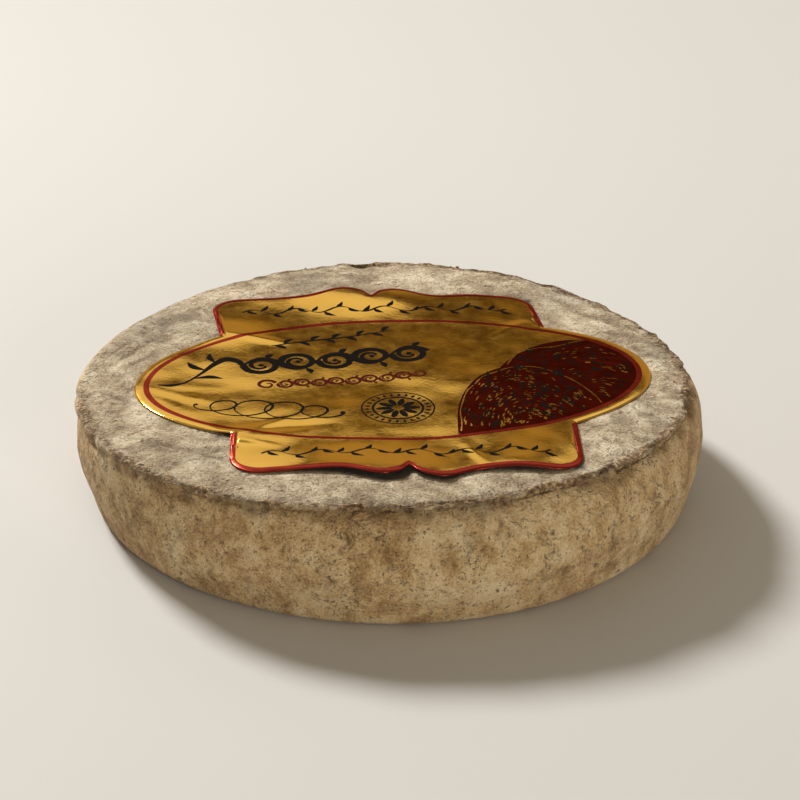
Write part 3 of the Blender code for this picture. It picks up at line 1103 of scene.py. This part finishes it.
def crumb_tree():
    """Crumbs of torn rind, strewn where the seam is roughest."""
    tree, given = new_tree("seam crumbs", CRUMB_SOCKETS)
    add = partial(add_node, tree)
    seam = add(NAMED, {"Name": "seam"}, 0, data_type="FLOAT")
    strong = add(MATHS, {0: seam, 1: CRUMB_SEAM_POWER}, 0, operation="POWER")
    density = add(MATHS, {0: strong, 1: given["Density"]}, 0, operation="MULTIPLY")
    inputs = {"Mesh": given["Rind"], "Density": density, "Seed": given["Seed"]}
    spread = add("GeometryNodeDistributePointsOnFaces", inputs, 0)
    lump = add("GeometryNodeMeshUVSphere", {"Segments": 7, "Rings": 5, "Radius": 0.5}, 0)
    place = add("GeometryNodeInputPosition", output=0)
    rough = add(NOISE, {"Vector": place, "Scale": 2.5, "Detail": 1.0}, "Color")
    centred = add(VECTOR_MATHS, {0: rough, 1: (0.5, 0.5, 0.5)}, 0, operation="SUBTRACT")
    dented = add("GeometryNodeSetPosition", {"Geometry": lump, "Offset": centred}, 0)
    inputs = {0: (0.0, 0.0, 0.0), 1: FULL_TURN, 8: given["Seed"]}
    turn = add("FunctionNodeRandomValue", inputs, 0, data_type="FLOAT_VECTOR")
    inputs = {2: given["Smallest"], 3: given["Largest"], 8: given["Seed"]}
    size = add("FunctionNodeRandomValue", inputs, 1, data_type="FLOAT")
    inputs = {"Points": spread, "Instance": dented, "Rotation": turn, "Scale": size}
    crumbs = add("GeometryNodeInstanceOnPoints", inputs, 0)
    return close_tree(tree, crumbs, given["Finish"])


def stroke_nodes(tree, wires, given):
    """Nodes that turn wires drawn in plan into thin ribbons of ink lying on the foil under them."""
    add = partial(add_node, tree)
    lines = add("GeometryNodeMeshToCurve", {"Mesh": wires}, 0)
    level = add("GeometryNodeSetCurveNormal", {"Curve": lines}, 0, mode="Z_UP")
    half = add(NAMED, {"Name": "half_width"}, 0, data_type="FLOAT")
    inputs = {"Width": 2.0, "Height": RIBBON_THICKNESS}
    section = add("GeometryNodeCurvePrimitiveQuadrilateral", inputs, 0)
    inputs = {"Curve": level, "Profile Curve": section, "Scale": half, "Fill Caps": True}
    ribbon = add("GeometryNodeCurveToMesh", inputs, 0)
    here = add("GeometryNodeInputPosition", output=0)
    x, y, z = add("ShaderNodeSeparateXYZ", {0: here}).outputs
    above = add(COMBINE, {"X": x, "Y": y, "Z": ABOVE_ALL}, 0)
    foil = add("GeometryNodeObjectInfo", {"Object": given["Foil"]}, "Geometry")
    inputs = {"Target Geometry": foil, "Source Position": above}
    inputs |= {"Ray Direction": (0.0, 0.0, -1.0), "Ray Length": 1.0}
    hit = add("GeometryNodeRaycast", inputs, "Hit Position")
    lift = add(MATHS, {0: z, 1: given["Ink height"]}, 0, operation="ADD")
    raised = add(COMBINE, {"Z": lift}, 0)
    target = add(VECTOR_MATHS, {0: hit, 1: raised}, 0, operation="ADD")
    return add("GeometryNodeSetPosition", {"Geometry": ribbon, "Position": target}, 0)


def stroke_tree():
    """Strokes of ink drawn once."""
    tree, given = new_tree("ink strokes", PRINT_SOCKETS)
    return close_tree(tree, stroke_nodes(tree, given["Wires"], given), given["Ink"])


def motif_tree():
    """One small drawing repeated at points, each turned and sized as its point says."""
    tree, given = new_tree("repeated drawing", (*PRINT_SOCKETS, DRAWING_SOCKET))
    add = partial(add_node, tree)
    drawing = add("GeometryNodeObjectInfo", {"Object": given["Drawing"]}, "Geometry")
    turn = add(NAMED, {"Name": "turn"}, 0, data_type="FLOAT")
    size = add(NAMED, {"Name": "size"}, 0, data_type="FLOAT")
    inputs = {"Points": given["Wires"], "Instance": drawing, "Scale": size}
    inputs["Rotation"] = add(COMBINE, {"Z": turn}, 0)
    placed = add("GeometryNodeInstanceOnPoints", inputs, 0)
    real = add("GeometryNodeRealizeInstances", {"Geometry": placed}, 0)
    return close_tree(tree, stroke_nodes(tree, real, given), given["Ink"])


def smooth_line(knots, steps=8):
    """A smooth line through knots of u, v and half width in millimetres."""
    knots = [knots[0], *knots, knots[-1]]
    line = []
    for n in range(len(knots) - 3):
        for step in range(steps):
            line.append(tuple(through(*knots[n : n + 4], step / steps)))
    line.append(tuple(float(value) for value in knots[-2]))
    return line


def spiral(u, v, radius, turns, start, wide, sign=1):
    """A curl that winds in to u, v, as knots in millimetres, thick on its outer turn."""
    knots = []
    count = int(turns * 9)
    for n in range(count + 1):
        share = n / count
        turn = math.radians(start) + sign * 2 * math.pi * turns * share
        reach = radius * (1 - share) ** 0.8 + 0.25 * radius * share
        over, up = in_plan(reach, turn)
        knots.append((u + over, v + up, wide * (1 - 0.65 * share)))
    return knots


def wire_mesh(name, lines, placed=True):
    """Lines of u, v and half width in millimetres as loose edges, laid on the label if placed."""
    points, edges, halves = [], [], []
    for line in lines:
        first = len(points)
        for u, v, half in line:
            x, y = label_place(u * MM, v * MM) if placed else (u * MM, v * MM)
            points.append((x, y, 0.0))
            halves.append(max(0.06, half) * MM)
        edges += [(n, n + 1) for n in range(first, len(points) - 1)]
    mesh = bpy.data.meshes.new(name)
    mesh.from_pydata(points, edges, [])
    add_values(mesh, {"half_width": halves})
    return mesh


def running_scroll(start, end, rise, waves, height, wide):
    """A wavy stem with a curl and its bud in each bend, and a leaf over each bend."""
    lines = []
    stem = []
    length = end - start
    for n in range(waves * 8 + 1):
        share = n / (waves * 8)
        turn = share * waves * math.pi
        pen = 0.35 + 0.65 * max(0.0, -math.cos(turn)) ** 1.5
        v = rise(share) + 0.85 * height * math.sin(turn)
        stem.append((start + length * share, v, wide * pen))
    lines.append(smooth_line(stem, 3))
    for n in range(waves):
        share = (n + 0.5) / waves
        up = 1 if n % 2 == 0 else -1
        u, v = start + length * share, rise(share) - up * height * 0.08
        radius = length / waves * 0.48
        lines.append(smooth_line(spiral(u, v, radius, 1.45, 180, wide * 0.85, up), 3))
        out = radius * 0.16
        lines.append([(u - out, v, wide * 0.3), (u, v, wide * 0.75), (u + out, v, wide * 0.3)])
        foot = (u + radius * 0.35, rise(share) + up * height * 0.75)
        lines.append(leaf_line(*foot, up * math.radians(62), height * 0.75, wide * 0.7))
    return lines


def leaf_line(u, v, toward, length, half):
    """One leaf drawn with the pen: a stroke that swells and tapers, turning a little on its way."""
    middle, tip = in_plan(length * 0.55, toward + 0.12), in_plan(length, toward - 0.12)
    knots = ((u, v, 0.1), (u + middle[0], v + middle[1], half), (u + tip[0], v + tip[1], 0.1))
    return smooth_line(knots, 6)


def leafy_stem(knots, count, length, half):
    """A thin stem with leaves to its left and right by turns."""
    stem = smooth_line(knots, 10)
    lines = [stem]
    for n in range(count):
        place = int((n + 0.7) / (count + 0.4) * (len(stem) - 2))
        (u, v, _), (ahead_u, ahead_v, _) = stem[place], stem[place + 1]
        along = math.atan2(ahead_v - v, ahead_u - u)
        lines.append(leaf_line(u, v, along + (0.75 if n % 2 else -0.75), length, half))
    return lines


def title_lines():
    """The large black flourish: a leafy swash that runs into a scroll, under a leafy stem."""
    swash = (
        (-80.5, 2.2, 0.25), (-76, 1.0, 1.0), (-71, 3.0, 0.5), (-65.5, 9.5, 0.6), (-60.5, 16.5, 1.2),
        (-56.0, 20.0, 1.7), (-52.0, 17.5, 1.3), (-50.5, 12.5, 0.6),
    )
    leaves = (
        (-63.5, 12.0, 2.4, 9.5, 1.3),
        (-68.0, 6.0, 0.0, 10.0, 1.2),
        (-60.0, 17.5, 1.9, 8.0, 1.1),
    )
    stem = ((-40, 30.0, 0.3), (-26, 33.5, 0.45), (-11, 36.0, 0.4), (3, 40.0, 0.15))
    lines = [smooth_line(swash, 6)]
    lines += [leaf_line(*leaf) for leaf in leaves]
    lines += leafy_stem(stem, 10, 5.2, 1.0)
    lines += running_scroll(-51.0, 13.5, lambda share: 14.0 + 6.5 * share, 5, 6.3, 1.7)
    return lines


def rosette_lines():
    """A plain rosette: two rings with petals between them and a flower inside."""
    middle = np.array((-0.9, -23.6))
    lines = []
    for radius, half in ((12.2, 0.28), (8.4, 0.42)):
        places = (in_plan(radius, 2 * math.pi * n / 72) for n in range(73))
        lines.append([(*(middle + place), half) for place in places])
    for count, inner, outer, half in ((26, 9.4, 11.3, 0.5), (10, 1.9, 7.4, 1.15)):
        for n in range(count):
            petal = []
            for step in range(7):
                share = step / 6
                place = in_plan(inner + (outer - inner) * share, 2 * math.pi * n / count)
                pen = math.sin(math.pi * (0.06 + 0.88 * share)) ** 0.7
                petal.append((*(middle + place), half * pen))
            lines.append(petal)
    return lines


def loop_lines():
    """The pen flourish of thin interlaced loops along the lower left."""
    line = []
    turns, first, last = 5, -68.0, -20.0
    for n in range(301):
        share = n / 300
        turn = (share - 0.5) * 2 * math.pi * turns
        swell = math.sin(math.pi * share) ** 0.55
        u = first + (last - first) * share + 9.0 * swell * math.sin(turn)
        v = -15.5 - 11.0 * share - 6.8 * swell * math.cos(turn)
        line.append((u, v, 0.24 + 0.24 * abs(math.sin(turn / 2 + 0.6))))
    return [line]


def subtitle_lines():
    """The small dark-red flourish under the large one."""
    ends = ((-43.5, -1.0, 3.4, 1.2, 20, 0.8), (9.0, 2.6, 2.6, 1.2, 200, 0.6))
    curls = [smooth_line(spiral(*end), 3) for end in ends]
    return curls + running_scroll(-40, 6.5, lambda share: -1.0 + 2.6 * share, 8, 2.7, 0.75)


def on_hill(number, level, turn):
    """A point of a hill's contour in millimetres, or None where it is hidden or off the field."""
    cu, cv, hu, hv = HILLS[number]
    over, up = in_plan(1.0, turn)
    reach = level * (1 + 0.05 * noise.noise(Vector((over * 3, up * 3, number * 5 + level * 4))))
    u, v = cu + hu * reach * over, cv + hv * reach * up
    hidden = any(math.hypot((u - a) / c, (v - b) / d) < 1.02 for a, b, c, d in HILLS[:number])
    if hidden or oval_share(u, v, LINE_INSET + LINE_WIDTH + 0.0010) > 1:
        return None
    return u / MM, v / MM


def crest_lines():
    """One thin gold line along the top of each hill."""
    lines = []
    for number in range(len(HILLS)):
        line = []
        for n in range(121):
            place = on_hill(number, 0.965, math.pi * n / 120)
            if place:
                line.append((*place, 0.14 + 0.12 * abs(math.sin(n * 0.35))))
            elif line:
                lines.append(line)
                line = []
        lines.append(line)
    return [line for line in lines if len(line) > 3]


def hatch_lines(seed, count, lowest, highest, widest):
    """Short strokes that follow the hills' contours, in tufts, as in a woodcut."""
    generator = np.random.default_rng(seed)
    lines = []
    while len(lines) < count:
        number = int(generator.integers(len(HILLS)))
        level, turn = generator.uniform(lowest, highest), generator.uniform(0.05, math.pi - 0.05)
        tuft = noise.noise(Vector((level * 7, turn * 5, seed + number * 3.3)))
        length = generator.uniform(0.02, 0.07) / max(level, 0.3)
        half = widest * generator.uniform(0.4, 1.0)
        places = [on_hill(number, level, turn + length * (k / 4 - 0.5)) for k in range(5)]
        if tuft > -0.05 and all(places):
            pens = (math.sin(math.pi * (k + 0.6) / 5.2) for k in range(5))
            lines.append([(*place, half * pen) for place, pen in zip(places, pens)])
    return lines


def fir_lines():
    """A small fir, drawn upright with its foot at the origin, one unit to a millimetre."""
    trunk = [(0.0, 0.25 * n, 0.14) for n in range(3)]
    tiers = [trunk]
    for foot, top, half in ((0.4, 1.7, 0.85), (1.1, 2.4, 0.66), (1.8, 3.1, 0.45)):
        tiers.append([(0.0, foot + (top - foot) * n / 4, half * (1 - n / 4)) for n in range(5)])
    return tiers


STEM_PLACE = 57.4
STEM_SWING = 1.9
STEM_PACE = 0.40


def banner_stem(side):
    """The wavy stem that runs along a banner, and the leaves on it as u, v, turn and size."""
    middle = side * STEM_PLACE
    stem = []
    for u in range(-47, 48):
        pen = 0.30 + 0.16 * math.cos(u * STEM_PACE)
        stem.append((u, middle + STEM_SWING * math.sin(u * STEM_PACE), pen))
    leaves = []
    for n in range(21):
        u = -45.0 + 4.5 * n
        turn = LABEL_TURN + (-0.72 if n % 2 else -2.42)
        size = 1.0 + 0.12 * math.sin(n * 2.3)
        leaves.append((u, middle + STEM_SWING * math.sin(u * STEM_PACE), turn, size))
    return stem, leaves


def fir_places():
    """Where the firs stand on the hills, as u, v, turn and size, with open ground near the rim."""
    generator = np.random.default_rng(11)
    firs = []
    for cu, cv, hu, hv in HILLS:
        for level in (0.93, 0.62):
            for _ in range(8):
                turn = generator.normal(1.2, 0.55) % math.pi
                u, v = cu + hu * level * math.cos(turn), cv + hv * level * math.sin(turn)
                if oval_share(u, v, 0.0095) < 1 and oval_share(u, v + 0.003, 0.0065) < 1:
                    firs.append((u / MM, v / MM, LABEL_TURN, generator.uniform(1.1, 2.1)))
    return firs


def leaf_drawing():
    """A small leaf, drawn upright with its foot at the origin, one unit to a millimetre."""
    knots = ((0.0, 0.0, 0.12), (0.35, 1.7, 0.85), (0.1, 3.2, 0.62), (-0.5, 4.7, 0.1))
    return [smooth_line(knots, 4)]


def point_mesh(name, places):
    """Loose points in plan from u, v, turn in radians and size, in label millimetres."""
    mesh = bpy.data.meshes.new(name)
    mesh.from_pydata([(*label_place(u * MM, v * MM), 0.0) for u, v, _, _ in places], [], [])
    add_values(mesh, {"turn": [p[2] for p in places], "size": [p[3] for p in places]})
    return mesh


def finish_piece(piece, replaced=None):
    """Ties a piece to the model: the body it rides on and the solid it stands for."""
    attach(piece, "root")
    if replaced:
        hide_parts(replaced)


class WheelSettings(bpy.types.PropertyGroup):
    """Sizes of the rind's relief."""

    dent_height: bpy.props.FloatProperty(
        name="Dent height",
        description="Height of the soft dents of the rind",
        default=0.00030,
        unit="LENGTH",
    )
    dent_length: bpy.props.FloatProperty(
        name="Dent length",
        description="Distance from one dent to the next",
        default=0.0085,
        unit="LENGTH",
    )
    ripple_height: bpy.props.FloatProperty(
        name="Ripple height",
        description="Height of the ripples left by the cloth",
        default=0.00034,
        unit="LENGTH",
    )
    fine_height: bpy.props.FloatProperty(
        name="Fine height",
        description="Height of the rind's fine grain",
        default=0.00008,
        unit="LENGTH",
    )
    seam_holes: bpy.props.IntProperty(
        name="Seam holes",
        description="How many holes are torn along the seam",
        default=230,
    )
    pits: bpy.props.IntProperty(
        name="Pits",
        description="How many small pits the top has",
        default=110,
    )
    side_cracks: bpy.props.IntProperty(
        name="Side cracks",
        description="How many short upright cracks the side has",
        default=46,
    )
    seed: bpy.props.IntProperty(
        name="Seed",
        description="Changes where the holes and pits lie",
        default=7,
    )


class LabelSettings(bpy.types.PropertyGroup):
    """Sizes and colours of the foil label."""

    step: bpy.props.FloatProperty(
        name="Step",
        description="Distance between points of the foil's mesh",
        default=0.0011,
        unit="LENGTH",
    )
    thickness: bpy.props.FloatProperty(
        name="Thickness",
        description="Thickness of the foil on its paper",
        default=0.00018,
        unit="LENGTH",
    )
    curl_width: bpy.props.FloatProperty(
        name="Curl width",
        description="Width of the rim that the cutting die pressed down",
        default=0.0022,
        unit="LENGTH",
    )
    curl_depth: bpy.props.FloatProperty(
        name="Curl depth",
        description="How far the rim is pressed down",
        default=0.00038,
        unit="LENGTH",
    )
    wave_room: bpy.props.FloatProperty(
        name="Wave room",
        description="How far the foil sinks so that its waves stay low",
        default=0.00012,
        unit="LENGTH",
    )
    gold: bpy.props.FloatVectorProperty(
        name="Gold",
        description="Colour of the bare foil",
        subtype="COLOR",
        default=linear("#F1BE58"),
    )
    red: bpy.props.FloatVectorProperty(
        name="Red",
        description="Colour of the red lacquer",
        subtype="COLOR",
        default=linear("#A23A2C"),
    )
    field: bpy.props.FloatVectorProperty(
        name="Field",
        description="Colour of the printed hills",
        subtype="COLOR",
        default=linear("#5A180B"),
    )
    ink: bpy.props.FloatVectorProperty(
        name="Ink",
        description="Colour of the black ink",
        subtype="COLOR",
        default=linear("#15100A"),
    )


class StageSettings(bpy.types.PropertyGroup):
    """Floor and light."""

    floor_colour: bpy.props.FloatVectorProperty(
        name="Floor",
        description="Colour of the floor",
        subtype="COLOR",
        default=linear("#C5C2BB"),
    )
    key_power: bpy.props.FloatProperty(
        name="Key power",
        description="Power of the soft light behind on the left",
        default=252.0,
        unit="POWER",
    )
    fill_power: bpy.props.FloatProperty(
        name="Fill power",
        description="Power of the weak light in front on the right",
        default=32.0,
        unit="POWER",
    )
    softbox_power: bpy.props.FloatProperty(
        name="Softbox power",
        description="Power of the light that the foil mirrors",
        default=0.66,
        unit="POWER",
    )
    sky: bpy.props.FloatProperty(
        name="Sky",
        description="Strength of the light from all round",
        default=1.0,
    )


class WheelMaker(bpy.types.Operator):
    """Make the cheese with its rind"""

    bl_idname = "cheese.wheel"
    bl_label = "Wheel"

    def execute(self, context):
        mesh = shaped_wheel(context.scene.cheese_wheel)
        mesh.materials.append(rind_material())
        finish_piece(new_object("cheese_rind", mesh), "cheese_wheel")
        return {"FINISHED"}


class CrumbMaker(bpy.types.Operator):
    """Strew crumbs of torn rind along the seam"""

    bl_idname = "cheese.crumbs"
    bl_label = "Crumbs"

    def execute(self, context):
        rind = bpy.data.objects["cheese_rind"]
        values = {"Finish": rind.data.materials[0]}
        crumbs = grown("seam_crumbs", rind.data.copy(), crumb_tree(), values)
        finish_piece(crumbs)
        return {"FINISHED"}


class LabelMaker(bpy.types.Operator):
    """Cut the foil label and lay it on the wheel"""

    bl_idname = "cheese.label"
    bl_label = "Label"

    def execute(self, context):
        settings = context.scene.cheese_label
        points, faces, finishes = label_sheet(settings)
        mesh = bpy.data.meshes.new("foil_label")
        mesh.from_pydata(points, [], faces)
        mesh.shade_smooth()
        for material in (
            foil_material("gold_foil", tuple(settings.gold), 0.125),
            foil_material("red_lacquered_foil", tuple(settings.red), 0.22),
            foil_material("dark_red_lacquered_foil", tuple(settings.field), 0.24),
            paper_material(),
        ):
            mesh.materials.append(material)
        mesh.polygons.foreach_set("material_index", finishes)
        label = new_object("foil_label", mesh)
        wall = label.modifiers.new("thickness", "SOLIDIFY")
        wall.thickness = settings.thickness
        wall.offset = -1.0
        wall.material_offset = 3
        graph = context.evaluated_depsgraph_get()
        solid = bpy.data.meshes.new_from_object(label.evaluated_get(graph), depsgraph=graph)
        label.modifiers.clear()
        label.data = solid
        finish_piece(label, "label")
        return {"FINISHED"}


class PrintMaker(bpy.types.Operator):
    """Print the flourishes, the rosette and the hills on the label"""

    bl_idname = "cheese.print"
    bl_label = "Print"

    def execute(self, context):
        settings = context.scene.cheese_label
        foil = bpy.data.objects["foil_label"]
        black = ink_material("black_printing_ink", tuple(settings.ink), 0.5)
        maroon = ink_material("dark_red_printing_ink", linear("#4E150B"), 0.5)
        strokes, repeats = stroke_tree(), motif_tree()
        (lower_stem, lower_leaves), (upper_stem, upper_leaves) = banner_stem(-1), banner_stem(1)
        flourishes = title_lines() + rosette_lines() + loop_lines() + [lower_stem, upper_stem]
        gold_lines = crest_lines() + hatch_lines(3, 330, 0.15, 0.93, 0.34)
        drawings = (
            ("black_flourishes", flourishes, black),
            ("red_flourishes", subtitle_lines(), maroon),
            ("gold_hatching", gold_lines, foil.data.materials[0]),
            ("dark_hatching", hatch_lines(8, 420, 0.25, 0.99, 0.55), black),
        )
        for name, lines, ink in drawings:
            wires = wire_mesh(name + "_wires", lines)
            finish_piece(grown(name, wires, strokes, {"Foil": foil, "Ink": ink}, flat=True))
        motifs = (
            ("printed_firs", fir_lines(), fir_places()),
            ("banner_leaves", leaf_drawing(), lower_leaves + upper_leaves),
        )
        for name, lines, places in motifs:
            wires = wire_mesh(name + "_drawing", lines, placed=False)
            drawing = new_object(name + "_drawing", wires)
            values = {"Foil": foil, "Ink": black, "Drawing": drawing}
            piece = grown(name, point_mesh(name + "_places", places), repeats, values, flat=True)
            bpy.data.objects.remove(drawing)
            finish_piece(piece)
        return {"FINISHED"}


FLOOR_HALF = 3.0
FLOOR_CORNERS = ((-1, -1), (1, -1), (1, 1), (-1, 1))
# The lamps: name, place, what it points at, and size in metres.
LAMPS = (
    ("key", (-2.00, 2.72, 2.50), (-0.02, 0.0, 0.03), 0.90),
    ("fill", (1.09, -2.64, 0.67), (0.0, 0.0, 0.03), 1.2),
)
SOFTBOX_SIZE = (0.9, 0.3)
SOFTBOX_PLACE = (0.02, 0.5, 0.463)
SOFTBOX_SLANT = math.radians(16)
CAMERA_PLACE = (-0.0021, -0.9832, 0.5122)
CAMERA_PITCH = math.radians(26.074)
CAMERA_YAW = math.radians(0.320)
CAMERA_ROLL = math.radians(0.623)
CAMERA_LENS = 142.98
SENSOR_WIDTH = 36.0
# The way that the sky's band of colours runs up, leaning to the left.
SKY_LEAN = (-0.30, 0.0, 1.0)
# The colours of the studio's walls from the floor up to overhead.
SKY_BAND = (
    (0.0, "#B39F77"),
    (0.32, "#B39F77"),
    (0.385, "#50402B"),
    (0.50, "#5C4C37"),
    (0.62, "#7E7B75"),
    (0.80, "#78756F"),
    (0.93, "#A89C8A"),
)


class StageMaker(bpy.types.Operator):
    """Set the floor, the lights and the camera"""

    bl_idname = "cheese.stage"
    bl_label = "Stage"

    def execute(self, context):
        settings = context.scene.cheese_stage
        corners = [(x * FLOOR_HALF, y * FLOOR_HALF, 0) for x, y in FLOOR_CORNERS]
        mesh = bpy.data.meshes.new("floor")
        mesh.from_pydata(corners, [], [(0, 1, 2, 3)])
        material, _, surface = new_material("pale_floor", Roughness=0.7)
        surface.inputs["Base Color"].default_value = (*settings.floor_colour, 1.0)
        mesh.materials.append(material)
        new_object("floor", mesh)
        powers = (settings.key_power, settings.fill_power)
        for (name, place, aim, size), power in zip(LAMPS, powers):
            lamp = bpy.data.lights.new(name, "AREA")
            lamp.shape = "DISK"
            lamp.size = size
            lamp.energy = power
            light = new_object(name, lamp)
            light.location = place
            light.rotation_euler = (Vector(aim) - Vector(place)).to_track_quat("-Z", "Y").to_euler()
        self.softbox(settings)
        context.scene.world = self.studio(settings)
        context.scene.view_settings.view_transform = "Standard"
        context.scene.camera = self.camera()
        return {"FINISHED"}

    def softbox(self, settings):
        """A long light close behind the wheel, which the foil mirrors in front and on the left."""
        lamp = bpy.data.lights.new("softbox", "AREA")
        lamp.shape = "RECTANGLE"
        lamp.size, lamp.size_y = SOFTBOX_SIZE
        lamp.energy = settings.softbox_power
        light = new_object("softbox", lamp)
        upright = Matrix.Rotation(math.radians(-90), 4, "X")
        slant = Matrix.Rotation(-SOFTBOX_SLANT, 4, "Y")
        light.matrix_world = Matrix.Translation(SOFTBOX_PLACE) @ slant @ upright

    def studio(self, settings):
        """A pale floor all round, dark walls, and a brighter ceiling."""
        world = bpy.data.worlds.new("studio")
        world.use_nodes = True
        tree = world.node_tree
        way = add_node(tree, "ShaderNodeTexCoord", output="Generated")
        inputs = {0: way, 1: SKY_LEAN}
        height = add_node(tree, VECTOR_MATHS, inputs, "Value", operation="DOT_PRODUCT")
        band = add_node(tree, RAMP, {"Fac": height}, "Color", stops=SKY_BAND)
        background = tree.nodes["Background"]
        tree.links.new(band, background.inputs["Color"])
        background.inputs["Strength"].default_value = settings.sky
        return world

    def camera(self):
        """The camera, fitted to the photograph."""
        ahead, aside = math.cos(CAMERA_YAW), math.sin(CAMERA_YAW)
        flat, down = math.cos(CAMERA_PITCH), math.sin(CAMERA_PITCH)
        forward = Vector((aside * flat, ahead * flat, -down))
        level = Vector((ahead, -aside, 0.0))
        upright = level.cross(forward)
        right = level * math.cos(CAMERA_ROLL) + upright * math.sin(CAMERA_ROLL)
        up = upright * math.cos(CAMERA_ROLL) - level * math.sin(CAMERA_ROLL)
        data = bpy.data.cameras.new("camera")
        data.sensor_width = SENSOR_WIDTH
        data.lens = CAMERA_LENS
        data.clip_start = 0.05
        data.clip_end = 20.0
        camera = new_object("camera", data)
        turn = Matrix((right, up, -forward)).transposed().to_4x4()
        camera.matrix_world = Matrix.Translation(CAMERA_PLACE) @ turn
        return camera


class CheesePanel(bpy.types.Panel):
    """Lists the makers of the wheel's pieces"""

    bl_idname = "VIEW3D_PT_cheese"
    bl_label = "Cheese wheel"
    bl_space_type = "VIEW_3D"
    bl_region_type = "UI"
    bl_category = "Cheese"

    def draw(self, context):
        for maker in MAKERS:
            self.layout.operator(maker.bl_idname)
        for group, kind in SETTINGS:
            for name in kind.__annotations__:
                self.layout.prop(getattr(context.scene, group), name)


MAKERS = (WheelMaker, CrumbMaker, LabelMaker, PrintMaker, StageMaker)
SETTINGS = (
    ("cheese_wheel", WheelSettings),
    ("cheese_label", LabelSettings),
    ("cheese_stage", StageSettings),
)


def register():
    for name, kind in SETTINGS:
        bpy.utils.register_class(kind)
        setattr(bpy.types.Scene, name, bpy.props.PointerProperty(type=kind))
    for kind in (*MAKERS, CheesePanel):
        bpy.utils.register_class(kind)


def unregister():
    for kind in (CheesePanel, *reversed(MAKERS)):
        bpy.utils.unregister_class(kind)
    for name, kind in reversed(SETTINGS):
        delattr(bpy.types.Scene, name)
        bpy.utils.unregister_class(kind)


def main():
    register()
    bpy.ops.cheese.wheel()
    bpy.ops.cheese.crumbs()
    bpy.ops.cheese.label()
    bpy.ops.cheese.print()
    bpy.ops.cheese.stage()


if __name__ == "__main__":
    main()
